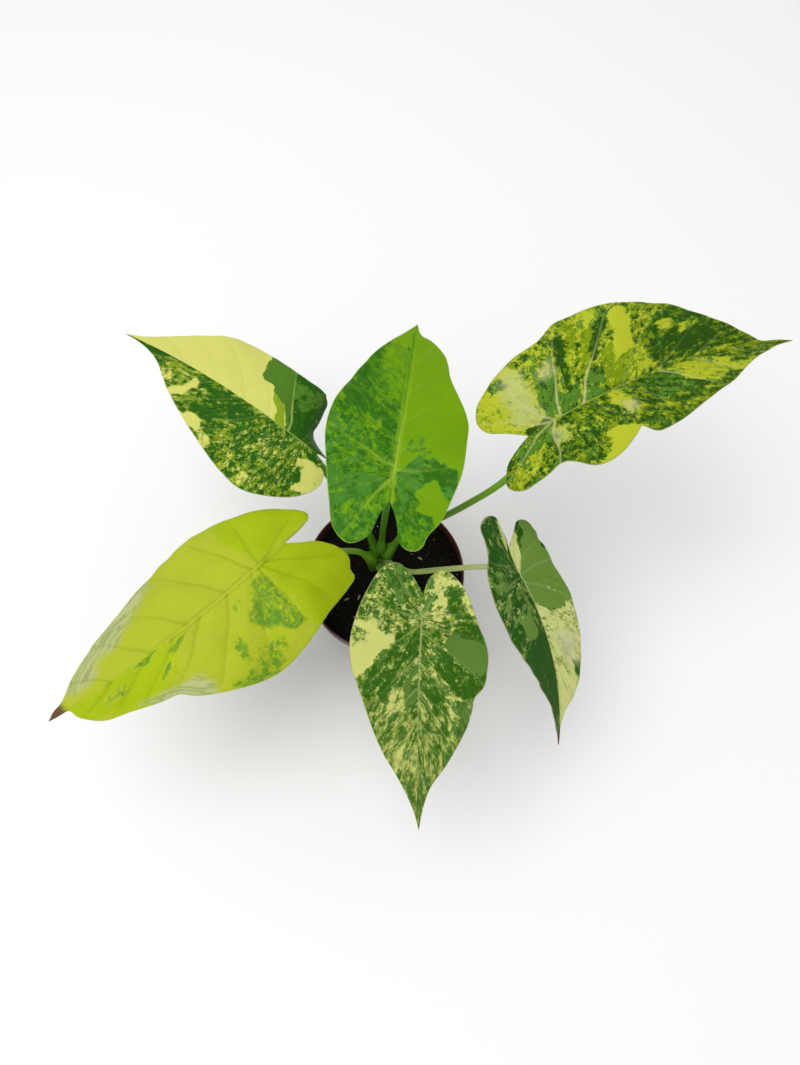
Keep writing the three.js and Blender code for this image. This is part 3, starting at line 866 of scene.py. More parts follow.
def grow_blade(leaf):
    """The blade as a closed sheet with sunken veins, ribs below and a rounded margin."""
    starts = [np.array(vein_starts(leaf, side), float) for side in ("left", "right")]
    known = np.unique(np.concatenate(starts))
    order = sum(np.interp(known, start, range(len(start))) for start in starts) / 2
    even = np.linspace(0, order[-1], round(order[-1] * LINES_PER_VEIN) + 1)
    clear = np.min(np.abs(even[:, None] - order[None]), axis=1) > LINE_CLEARANCE / LINES_PER_VEIN
    roots = np.interp(np.sort(np.concatenate([order, even[clear]])), order, known)

    points, faces, marks = [], [], {}
    for side in ("left", "right"):
        s, t, phase, near, vein, edge_gap = half_net(leaf, side, roots)
        gap, keel = np.hypot(s - roots[:, None], t), np.abs(t)
        place, normal = blade_point(leaf, s, t), blade_normal(leaf, s, t)
        share = np.clip(np.where(s > 0, 1 - s / leaf["length"], 1 + s / leaf["notch"]), 0, 1)
        puffed = PUFF_HEIGHT * (1 - ridge(near, PUFF_REACH)) - PUFF_SINK
        puffed -= CHANNEL_DEPTH * ridge(near, CHANNEL_WIDTH)
        sunk = leaf["relief"] * puffed * faded(edge_gap, gap, RELIEF_FADE)
        channel = np.where(s > 0, *KEEL_CHANNEL)
        sunk -= channel * share ** 0.5 * ridge(keel, KEEL_WIDTH)
        sunk += WAVE_HEIGHT * ripple(s, t, leaf["seed"], *WAVE_LENGTHS) * ease(keel / WAVE_FADE)
        frill = leaf["frill"] * ripple(s, t, leaf["seed"] + 1, *FRILL_LENGTHS)
        sunk += frill * faded(FRILL_FADE[0] - edge_gap, gap, FRILL_FADE)
        half = BLADE_HALF * np.sqrt(np.clip(MARGIN_SHARE + edge_gap / MARGIN_ROUND, 0, 1))
        rib = RIB_DEPTH * ridge(near, RIB_WIDTH) * faded(edge_gap, gap, RIB_FADE)
        round_keel = np.sqrt(np.clip(1 - (keel / between(MIDRIB_HALF, share)) ** 2, 0, 1))
        rib += MIDRIB_DEPTH * share ** 0.8 * round_keel
        upper, lower, papery, dry = tissue_of(leaf, side, s, t)
        for under, offset in ((0.0, sunk + half), (1.0, sunk - half - rib)):
            points += (place + normal * offset[..., None]).reshape(-1, 3).tolist()
            for name, columns in (
                ("flat", (s, t, under)),
                ("streak", (phase, gap, 0.0 if side == "left" else 50.0)),
                ("near", (near, edge_gap, vein)),
                ("tissue", (upper, lower, papery)),
                ("dry", (dry,)),
            ):
                columns = np.stack(np.broadcast_arrays(*columns), -1)
                marks.setdefault(name, []).append(columns.reshape(s.size, -1))
    lines, rows = s.shape
    for sheet in (0, 2 * s.size):
        for i in range(lines - 1):
            here, there = sheet + i * rows, sheet + (i + 1) * rows
            for j in range(rows - 1):
                for low in (0, s.size):
                    faces.append((low + here + j, low + here + j + 1,
                                  low + there + j + 1, low + there + j))
            here, there = here + rows - 1, there + rows - 1
            faces.append((here, s.size + here, s.size + there, there))
    marks = {name: np.vstack(columns).squeeze() for name, columns in marks.items()}
    return build(leaf["name"] + "_blade", points, faces, leaf_finish(leaf), marks=marks)


def marked(finish, name, output="Vector"):
    """The named values that a piece carries on its points."""
    return finish.add("ShaderNodeAttribute", output=output, attribute_name=name)


def leaf_finish(leaf):
    """Leaf skin: crisp green marbling along the veins over cream, pale veins, satin gloss."""
    finish = Finish(leaf["name"] + "_skin", 0.08)
    s, t, under = finish.parts(marked(finish, "flat"))
    phase, out, side = finish.parts(marked(finish, "streak"))
    near, edge_gap, vein = finish.parts(marked(finish, "near"))
    upper, lower, papery = finish.parts(marked(finish, "tissue"))
    dry = marked(finish, "dry", "Fac")
    mottle, own = leaf["mottle"], side + leaf["seed"]

    def joined(x, y, z):
        return finish.add("ShaderNodeCombineXYZ", {0: x, 1: y, 2: z})

    flat = joined(s + 47 * leaf["seed"], t, 0)
    fan = joined(phase * (6 * mottle), out * (0.16 * mottle), own)
    streaks = finish.add("ShaderNodeTexNoise", {"Vector": fan, "Scale": 1.0, "Detail": 4,
                                                "Roughness": 0.62}, "Color")
    clouds = finish.add("ShaderNodeTexNoise", {"Vector": flat, "Scale": 0.38 * mottle, "Detail": 5,
                                               "Roughness": 0.66}, "Color", noise_dimensions="2D")
    shaken = finish.add("ShaderNodeVectorMath", {0: streaks, 1: (8, 8, 0), 2: flat},
                        operation="MULTIPLY_ADD")
    flakes, flecks = (
        finish.add("ShaderNodeTexVoronoi", {"Vector": shaken, "Scale": scale * mottle}, "Color",
                   voronoi_dimensions="2D")
        for scale in (0.42, 1.1)
    )
    crisp, growth = leaf["blur"]
    outer = growth * s.rise(10, 80)
    blur = crisp + outer
    chances = [
        (3.6 + 2 * outer) * (streak - 0.5) + (2.3 - 2 * outer) * (cloud - 0.5)
        + (0.65 - outer) * (flake + fleck - 1)
        for streak, cloud, flake, fleck in zip(*map(finish.parts, (streaks, clouds, flakes, flecks)))
    ]
    upper_green, lower_green, deep_green = (
        (amount + chance).rise(0 - blur * part, blur * part)
        for amount, chance, part in zip((upper, lower, upper.maths("MINIMUM", upper, lower)),
                                        chances, (1, 0.7, 0.7))
    )
    none, high, low, both = leaf["palette"]
    broad = finish.noise(flat, 0.05, detail=2)
    colour = finish.blend(
        none,
        (0.14 * broad.rise(-0.2, 0.9), high),
        (upper_green, high),
        (lower_green, finish.blend(low, (upper_green, both))),
        (0.38 * deep_green, both),
    )
    grain = finish.noise(flat, 1.6, detail=3, roughness=0.65)
    strokes = finish.noise(finish.stretched(fan, (2.6, 1.2, 1)), 1, detail=3)
    plain = abs(upper).rise(0.9, 1.4)
    strength = leaf["strokes"] * (1 - 0.85 * plain)
    greener = finish.blend(colour, (0.5, low))
    colour = finish.blend(colour, (strength * strokes.rise(0, 1), greener))
    depth = 1 + 0.08 * broad + (0.09 - 0.05 * plain) * grain + 0.5 * strength * strokes
    colour = finish.shade(colour, depth)

    # Crease lines on the papery stretches: they are bumped, and painted darker olive as painted shade in
    # their wrinkles.
    crease = finish.noise(joined(s * 0.035, edge_gap * 0.2, own), 1, detail=4, roughness=0.55)
    crease = 1 - abs(crease).rise(0, 0.13)
    paper = finish.blend(leaf["papery_colour"], (0.6 * (0.5 + broad), "#a8b27c"),
                         (leaf["creases"] * crease, "#84914e"))
    width = leaf["vein_width"] * (1.7 - 0.7 * out.rise(4, 35))
    ragged = near + 0.25 * finish.noise(flat, 0.35, detail=2).rise(0, 1)
    line = (1 - ragged.rise(0.1, width)) * (1 - 0.75 * out.rise(5, leaf["vein_reach"]))
    keel = abs(t)
    # A band on both sides of the midrib in the leaf's vein colour. On the front-left leaf that colour is
    # darker, so there the band is painted shade in the grooves beside the midrib.
    groove = keel.rise(0.5, 1) * (1 - keel.rise(1.3, 2.6)) * (1 - s.rise(40, 100))
    keel_line = (1 - keel.rise(0.15, 0.8)) * (1 - s.rise(5, leaf["rib_to"])) * s.rise(-14, 2)
    colour = finish.blend(
        colour,
        (leaf["papery_share"] * papery, paper),
        (vein * line, leaf["vein_colour"]),
        (leaf["groove"] * groove, leaf["vein_colour"]),
        (leaf["rib_strength"] * keel_line, leaf["rib_colour"]),
        (0.6 * (1 - edge_gap.rise(0.2, 0.7)), leaf["rim_colour"]),
        (dry, "#6e5238"),
        (0.35 * under, "#7f9a55"),
    )
    roughness = 0.44 + 0.14 * under + 0.04 * grain + 0.2 * dry + 0.1 * papery
    relief = grain + 0.5 * finish.parts(flecks)[0] + 3 * leaf["creases"] * papery * crease
    finish.cover(finish.shade(colour, LEAF_TONE), roughness, relief, 0.0001)
    return finish


def stalk_finish(leaf):
    """Smooth stalk skin, darker and duller at its foot with painted shade, and pale where it meets the
    blade.
    """
    finish = Finish(leaf["name"] + "_stalk_skin", 0.22)
    run, inner, low = finish.parts(marked(finish, "stalk"))
    grain = marked(finish, "grain")
    streaks = finish.noise(grain, 1.2, detail=3, roughness=0.6)
    spots = finish.noise(finish.stretched(grain, (1, 1, 3)), 2.3, detail=2).rise(0.55, 0.75)
    green, pale = leaf["stalk_tones"]
    colour = finish.blend(
        green,
        (0.4 * streaks.rise(-0.9, 0.9) + 0.6 * run.rise(0.3, 0.85), pale),
        (0.35 * spots, pale),
        # Painted shade at the stalk's foot: dark green, strongest at the soil and gone 26 mm above it.
        (0.75 * low, "#24480f"),
        (0.4 * inner * low, "#5b8f2c"),
    )
    finish.cover(colour, 0.42 + 0.06 * streaks, streaks, 0.00015)
    return finish


def grow_stalk(leaf):
    """The stalk as a tube whose foot opens into a sheath with two thin wings."""
    angle = math.radians(leaf["foot"])
    foot = np.array(STEM_CENTRE) + FOOT_CIRCLE * np.array([math.cos(angle), math.sin(angle)])
    radius_above, sheath_top = leaf["stalk_radius"], leaf["sheath_top"]

    def below(s, depth):
        s, t = np.array([float(s)]), np.zeros(1)
        return (blade_point(leaf, s, t) - depth * blade_normal(leaf, s, t, 0.5))[0]

    path = curve_through([
        (*foot, STALK_LOW),
        (*foot, (STALK_LOW + SOIL_TOP) / 2),
        (*foot, SOIL_TOP + STALK_UPRIGHT),
        *leaf["stalk"],
        below(STALK_BEND[0], radius_above + STALK_BEND[1]),
        below(STALK_END, STALK_END_RADIUS),
    ])
    length = run_of(path)[-1]
    shares = np.linspace(0, 1, STALK_RINGS + 1)
    centres = along(path, shares * length)
    ways = np.gradient(centres, axis=0)
    ways /= np.linalg.norm(ways, axis=1, keepdims=True)
    inward = np.array([STEM_CENTRE[0] - foot[0], STEM_CENTRE[1] - foot[1], 0])
    points, places, grains = [], [], []
    for share, centre, way in zip(shares, centres, ways):
        inward = inward - way * (inward @ way)
        inward /= np.linalg.norm(inward)
        aside = np.cross(way, inward)
        above, under_top = centre[2] - SOIL_TOP, sheath_top - centre[2]
        body = between((radius_above, FOOT_RADIUS), ease(1 - share / SHEATH_SHARE))
        body = between((body, STALK_END_RADIUS), ease((share - THIN_AFTER) / (1 - THIN_AFTER)))
        wing = leaf["sheath"] * faded(under_top, above + 2, WING_FADE)
        core = math.hypot(centre[0] - STEM_CENTRE[0], centre[1] - STEM_CENTRE[1])
        web = max(core - body, 0) * faded(under_top, above + 4, WEB_FADE)
        narrowed = END_SHARE if share in (0, 1) else 1
        for theta in np.arange(STALK_SIDES) * 2 * math.pi / STALK_SIDES:
            cosine, sine = math.cos(theta), math.sin(theta)
            turn = (theta + math.pi) % (2 * math.pi) - math.pi
            lip = ridge(abs(turn) - LIP_ANGLE, LIP_WIDTH)
            hollow = math.exp(-turn ** 2 / HOLLOW_SPREAD)
            radius = narrowed * (body + wing * (LIP_HEIGHT * lip - HOLLOW_DEPTH * hollow))
            radius += web * max(cosine, 0) ** 2
            points.append(centre + radius * (cosine * inward + sine * aside))
            # The third value is how much painted shade the foot takes: 1 at the soil and 0 from 26 mm
            # above it.
            places.append((share, hollow * ease(wing), 1 - ease(above / FOOT_SHADE)))
            grains.append((GRAIN_ROUND * cosine, GRAIN_ROUND * sine, share * length * GRAIN_ALONG))
    faces = []
    for low in range(0, STALK_RINGS * STALK_SIDES, STALK_SIDES):
        high = low + STALK_SIDES
        for j in range(STALK_SIDES):
            k = (j + 1) % STALK_SIDES
            faces.append((low + j, low + k, high + k, high + j))
    faces += [tuple(range(STALK_SIDES)), tuple(range(len(points) - STALK_SIDES, len(points)))]
    marks = {"stalk": places, "grain": grains}
    return build(leaf["name"] + "_stalk", points, faces, stalk_finish(leaf), marks=marks)


def grow_leaf(name, **own):
    """One leaf, in millimetres and degrees. Its wave is the height, length and crest of the wave
    of each half. Its curl is where the right lobe starts to roll, over what length, how far and
    over what width. Its blur is how soft the marbling is by the hub and how much softer it gets
    towards the tip. A side vein is its place on the midrib, where it meets the margin and,
    unless it is as strong as the leaf's others, how clearly it shows. A patch is the green of
    its upper and of its lower tissue, how soft its border is, and its corners: below -1.5 the
    tissue has no green at all, above 1.5 it is all green, and near 0 it is mixed. A papery
    stretch is how soft its border is, and its corners.
    """
    leaf = {**HABIT, "name": name, **own}
    leaf["veins"] = {side: [(*vein, leaf["vein_strength"])[:3] for vein in veins]
                     for side, veins in leaf["veins"].items()}
    for piece in (grow_blade(leaf), grow_stalk(leaf)):
        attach(piece, "root")
        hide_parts(name)


# The back left leaf. Thin soft tissue on a stalk that leaves the stem at its back left. Its
# right half is plain cream up to a sage block by the hub, and its right lobe rolls under. Its
# left half is marbled.

grow_leaf(
    "leaf_back_left",
    hub=(-48, 54, 176), heading=142, pitch=-8, length=142, notch=11, seed=21,
    droop=22, swerve=6.6, lobe_droop=22, fold=2, arch=24, curl=(14, 26, 125, 15),
    wave=((3, 55, 10), (3, 55, 30)),
    left=[(126, 2), (110, 7), (90, 20), (60, 34), (30, 43), (11, 46), (-5, 38), (-20, 25.5), (-25, 13),
          (-20, 4)],
    right=[(127, 4), (98, 21), (74, 34), (55, 37), (30, 35.5), (12, 37), (-4, 35), (-16, 26), (-21, 14),
           (-17, 4)],
    foot=140, stalk_radius=2.3, sheath=1.0, sheath_top=112, stalk_tones=("#3e7008", "#629618"),
    stalk=[(-8, 16, 110), (-12, 20, 125), (-23, 30, 147)],
    veins={
        "left": [(-1.5, (-18, 24)), (0, (-4, 38)), (3, (14, 46)), (13, (40, 40)), (28, (64, 32)),
                 (46, (84, 23)), (66, (100, 14)), (90, (116, 5))],
        "right": [(-1.5, (-16, 26)), (1, (0, 36)), (11, (33, 36), 0.85), (26, (60, 36.5)), (44, (80, 31)),
                  (64, (98, 21)), (88, (116, 10))],
    },
    relief=0.8, frill=0.2, mottle=0.95, blur=(0.16, 0.25), dry_from=139,
    palette=("#dcdd72", "#8ca61e", "#528020", "#265e04"), rim_colour="#cfd08c",
    vein_colour="#9fb75a", vein_width=0.7, vein_reach=55,
    rib_colour="#93ae4c", rib_strength=0.7, rib_to=50,
    ground={"left": (0.32, 0.08), "right": (-1.6, -1.6)},
    patches=[
        (-1.6, -1.6, 2, [(57, 25), (63, 24), (72, 28), (79, 27), (68, 32), (57, 33)]),
        (-1.6, -1.6, 2, [(72, 9), (78, 12), (80, 18), (87, 22), (92, 20), (86, 15), (82, 12), (79, 4),
                         (75, 5)]),
        (0.25, -0.2, 3, [(22, 21), (28, 24), (28, 33), (40, 31), (38, 39), (30, 41), (24, 36)]),
        (-0.66, -0.66, 2, [(46, 32), (54, 31), (55, 36), (48, 38)]),
        (-0.5, -0.5, 2, [(12, 37), (18, 36), (19, 43), (13, 44)]),
        (-0.39, -0.39, 2, [(92, 10), (100, 9), (101, 13), (93, 15)]),
        (0.65, 0.5, 4, [(30, 1), (42, 3), (62, 2), (77, 1), (71, 7), (60, 12), (66, 20), (76, 27),
                        (60, 23), (50, 17), (42, 14), (32, 5)]),
        (0.5, -0.22, 4, [(80, 2), (104, 1), (106, 7), (92, 10), (82, 9)]),
        (1.6, 1.6, 1.5, [(102, 0.2), (142, 0.1), (130, 3), (112, 5)]),
        (0.2, 0.15, 5, [(4, 4), (20, 4), (36, 14), (26, 22), (6, 24)]),
        (-1.15, -1.15, 2, [(-26, 12), (-23, 22), (-13, 25), (-7, 17), (-5, 8), (-12, 6), (-20, 6)]),
        (0.5, 0.6, 3, [(-15, 19), (-10, 13), (-6, 14), (-8, 20), (-13, 22)]),
        (0.77, 0.77, 1.5, [(-17, 6), (-8, 6), (-2, 1), (-11, 2)]),
        (0.77, 0.77, 1.2, [(14, 1.5), (15, -1), (20, -13), (28, -24), (33, -38), (-25, -40), (-22, 1.5)]),
        (-0.35, 1.6, 3, [(12, -14), (20, -20), (20, -34), (2, -36), (2, -24), (9, -22)]),
        (-0.9, 1.6, 3, [(20, -19), (27, -22), (30, -30), (22, -32)]),
        (-1.6, 1.6, 1.2, [(12, -1), (20, -7), (28, -12), (36, -17), (43, -18), (48, -23), (51, -30),
                          (54, -39), (33, -39), (27, -26), (19, -13)]),
        (1.6, -1.6, 1.2, [(14, 0), (22, 0), (27, -7), (31, -13), (33, -16), (30, -15.5), (24, -11),
                          (19, -6)]),
    ],
)


# The middle leaf at the back. It stands highest, on the straightest stalk. Its right half is
# plain lime but for its lobe, and its left half is mottled in soft mid greens.

grow_leaf(
    "leaf_back",
    hub=(7, 18, 212), heading=82.3, pitch=4, length=116, notch=17, seed=31,
    droop=18, swerve=1, lobe_droop=20, fold=8, arch=16, wave=((2.5, 52, 40), (2.5, 52, 62)),
    left=[(108, 5), (94, 15), (80, 24), (62, 33), (40, 40), (24, 42), (2, 38), (-19, 33), (-36, 28),
          (-43, 19), (-38, 9), (-26, 4.5)],
    right=[(107, 2.2), (103, 4.6), (99.5, 9.5), (86, 19.5), (66, 24.5), (54, 30), (39, 37), (23, 37.5),
           (4, 37), (-11, 33.3), (-26, 28.5), (-35, 22.5), (-41, 20.5), (-43.5, 15), (-40.5, 9),
           (-28, 5)],
    foot=84, stalk_radius=2.05, sheath=1.1, sheath_top=116, stalk_tones=("#366608", "#589014"),
    stalk=[(-1, 17, 120), (2, 18, 160), (4, 17, 192)],
    veins={
        "left": [(-3, (-38, 22), 0.5), (-1.5, (-20, 33), 0.1), (0, (-3, 37), 0.1), (3, (28, 41), 0.45),
                 (20, (50, 37)), (38, (68, 30)), (58, (86, 20)), (80, (102, 9))],
        "right": [(-4, (-42, 18)), (-2, (-20, 30)), (1, (6, 37), 0.3), (12, (36, 37)), (32, (58, 28)),
                  (54, (79, 22)), (76, (97, 12))],
    },
    relief=1.0, frill=0.2, mottle=0.66, blur=(0.4, 0.2), dry_from=200, groove=0.3,
    palette=("#74a200", "#5a9200", "#4a8828", "#2f6c06"), rim_colour="#9fc23c",
    vein_colour="#a3c23c", vein_width=1.1, vein_reach=35,
    rib_colour="#a9c940", rib_strength=0.85, rib_to=60,
    ground={"left": (0.17, -0.06), "right": (-1.6, -1.6)},
    patches=[
        (-0.06, 0.06, 3, [(-3, 1), (4, 1), (22, 20), (28, 42), (-2, 38)]),
        (-0.28, 0.33, 3, [(12, 30), (24, 26), (36, 34), (30, 42), (6, 39)]),
        (-0.39, 0.61, 2.5, [(-5, 3), (-18, 8), (-36, 24), (-22, 33), (-4, 37), (-3, 20)]),
        (-0.11, 0.17, 3, [(-46, 19), (-36, 30), (-24, 31), (-18, 18), (-8, 6), (-20, 4), (-38, 8)]),
        (0.5, 0.33, 4, [(12, 3), (24, 8), (35, 20), (40, 40), (46, 38), (44, 20), (40, 8), (30, 2)]),
        (0.44, 0.28, 4, [(46, 36), (44, 22), (56, 14), (72, 15), (84, 20), (66, 32)]),
        (-0.44, -0.44, 2, [(24, 12), (31, 11), (33, 19), (27, 21)]),
        (-0.39, -0.44, 2, [(40, 33), (47, 33), (48, 38), (41, 39)]),
        (0.33, -0.28, 3, [(-20, 4), (-4, 2), (4, 0.5), (30, 0.5), (30, 2), (6, 4), (-4, 6)]),
        (-0.06, -0.61, 5, [(48, 1), (88, 1), (96, 10), (80, 18), (60, 10), (48, 8)]),
        (-1.6, -1.6, 6, [(94, 0.5), (118, 0.5), (104, 10), (94, 12)]),
        (0.28, 0.06, 2.5, [(-46, -16), (-40, -7), (-26, -3), (-17, -0.5), (-3, -1), (-14, -14),
                           (-22, -22), (-30, -28)]),
        (-0.39, 0.72, 1.8, [(0, -1), (6, -6), (10, -14), (9, -24), (5, -35), (-8, -36), (-16, -32),
                            (-6, -26), (-4, -18), (-14, -13), (-20, -8), (-12, -3)]),
        (0.5, 0.72, 2.5, [(-4, -18), (3, -14), (7, -22), (3, -34), (-5, -34), (-4, -26)]),
        (-1.6, -1.6, 1.6, [(-20, -17), (-4, -17), (-4, -24), (-12, -31), (-27, -31), (-23, -22)]),
        (-0.61, -0.28, 5, [(9, -3), (22, -3), (26, -14), (12, -20)]),
        (1.6, -1.6, 1.5, [(22, 0.2), (112, 0.2), (112, 1.4), (60, 2.2), (22, 2.2)]),
    ],
)


# The back right leaf. The largest, held far out on a long bent stalk. It is marbled all over
# in cream, lime and dark green, with pale side veins, and papery by the hub.

grow_leaf(
    "leaf_back_right",
    hub=(99, 54, 206), heading=28.4, pitch=-10, length=162.5, notch=19, seed=41,
    droop=30, swerve=-13, lobe_droop=26, fold=22, arch=22, wave=((2.5, 60, 0), (5, 54, 37)),
    left=[(150, 1.2), (137, 2), (118, 14), (103, 24), (87, 37), (64, 43.5), (41, 51.5), (27, 53),
          (12, 44.5), (-8, 41.5), (-24, 37), (-34, 31), (-38.5, 23), (-37, 15.5), (-28, 8)],
    right=[(150, 2.8), (122, 12.5), (100, 23.6), (76, 31), (56, 36), (40, 38.3), (36, 31), (29, 34.5),
           (17, 38.5), (1, 37), (-11, 27.5), (-22, 29), (-37, 27.5), (-43.5, 20), (-38, 9.5), (-27, 3)],
    foot=30, stalk_radius=2.0, sheath=1.3, sheath_top=112, stalk_tones=("#4c7a10", "#709c20"),
    stalk=[(7, 14, 110), (13, 15, 126), (26, 15, 141), (48, 19, 161), (73, 28, 184)],
    veins={
        "left": [(-4, (-38, 22), 0.6), (-2, (-24, 36), 0.6), (2, (26, 52), 0.8), (17, (56, 45), 0.8),
                 (42, (82, 39)), (63, (105, 23)), (88, (120, 12)), (114, (136, 3))],
        "right": [(-4, (-40, 19), 0.6), (-2, (-13, 28), 0.7), (0, (18, 39.5)), (22, (42, 38.5)),
                  (42, (70, 32)), (66, (94, 26), 0.5), (90, (114, 18), 0.4), (116, (134, 9))],
    },
    relief=1.1, frill=0.25, mottle=0.95, blur=(0.16, 0.25), dry_from=158,
    palette=("#bcc62c", "#809b08", "#5a8a26", "#285000"), rim_colour="#a9b25c",
    vein_colour="#c9cf8c", vein_width=0.8, vein_reach=45,
    rib_colour="#a3b45c", rib_strength=0.75, rib_to=90,
    papery_colour="#d6d9a0", papery_share=0.5,
    ground={"left": (-0.06, -0.06), "right": (0.17, 0.11)},
    patches=[
        (-0.6, -0.75, 2, [(-22, 1), (-3, 2), (-4, 18), (-7, 42), (-26, 38), (-40, 26), (-40, 14),
                          (-28, 6)]),
        (-0.33, 0.5, 2, [(-24, 31), (-14, 30), (-15, 37), (-24, 37)]),
        (-0.06, 0, 2, [(-6, 34), (12, 36), (12, 45), (-8, 42)]),
        (0.66, 0.66, 1.2, [(-20, 3), (-5, 4), (-1, 1), (-19, 0.2)]),
        (-0.44, 0.66, 2, [(-5, 3), (2, 1), (8, 16), (12, 28), (4, 24), (-3, 18)]),
        (-0.5, -0.11, 3, [(-6, 22), (4, 24), (12, 30), (16, 40), (-2, 36)]),
        (-0.44, 0.66, 2, [(3, 1), (17, 1), (20, 10), (16, 24), (10, 18)]),
        (0.66, 0.66, 2.5, [(12, 9), (17, 10), (18, 24), (26, 40), (20, 42), (14, 28)]),
        (0.33, -0.5, 3, [(19, 12), (30, 18), (38, 30), (44, 48), (28, 50), (22, 34)]),
        (-0.44, 0.72, 1.5, [(18, 1), (32, 1), (38, 14), (31, 19), (24, 12)]),
        (0.5, -0.66, 2.5, [(33, 1), (48, 2), (56, 12), (52, 24), (44, 26), (36, 16)]),
        (0.72, 0.66, 2.5, [(32, 20), (38, 22), (44, 32), (54, 38), (48, 42), (40, 34)]),
        (-1.5, -1.5, 2, [(45, 16), (56, 18), (60, 30), (62, 42), (53, 42), (50, 30)]),
        (-0.55, -0.44, 2.5, [(34, 38), (44, 40), (48, 49), (36, 52)]),
        (-0.39, -0.39, 3, [(52, 3), (66, 4), (64, 16), (56, 18)]),
        (0, -0.17, 4, [(62, 24), (74, 26), (88, 38), (62, 44)]),
        (0.39, 0.39, 4, [(66, 3), (96, 3), (128, 3), (118, 14), (104, 24), (90, 34), (74, 30), (62, 16)]),
        (0.8, 0.7, 3, [(80, 8), (104, 8), (108, 15), (94, 18), (80, 15)]),
        (-0.55, -0.55, 2, [(72, 21), (82, 20), (86, 27), (76, 27)]),
        (-0.33, -0.28, 2, [(86, 18), (100, 19), (96, 24), (86, 23)]),
        (0.39, -0.22, 4, [(126, 0.5), (162, 0.5), (150, 3), (134, 5)]),
        (-0.72, -0.66, 2, [(31, -1), (40, -1), (39, -14), (34, -20), (31, -12)]),
        (-0.06, 0.72, 2, [(50, -2), (69, -2), (75, -12), (80, -23), (70, -21), (52, -16)]),
        (-0.5, -0.44, 2.5, [(70, -1), (94, -1), (110, -7), (98, -18), (88, -21), (78, -13)]),
        (-1.6, -1.6, 1.5, [(17, -25), (22, -24), (30, -28), (37, -32), (33, -38), (17, -42), (4, -39),
                           (16, -33)]),
        (-0.44, 0.55, 2, [(-36, -8), (-22, -3), (-4, -1), (-10, -12), (-30, -15)]),
        (-0.44, -0.39, 3, [(-42, -18), (-26, -13), (-14, -12), (-22, -22), (-38, -26)]),
        (-0.55, -0.22, 2.5, [(-6, -6), (1, -6), (0, -16), (-7, -16)]),
        (-0.5, -0.5, 2, [(102, -11), (122, -10), (126, -13), (106, -18)]),
    ],
    papery=[
        (10, [(-20, 8), (-6, 4), (-6, 30), (-11, 40), (-18, 34)]),
        (6, [(3, 22), (12, 24), (12, 31), (4, 30)]),
        (6, [(-8, -7), (0, -8), (-1, -15), (-7, -14)]),
        (5, [(34, -12), (42, -13), (40, -20), (34, -19)]),
    ],
)


# The front left leaf. Nearly plain yellow-lime, with sunken veins and a green wedge beside
# the hub. It is drying, so its margin has papery silvery stretches and its tip is brown.

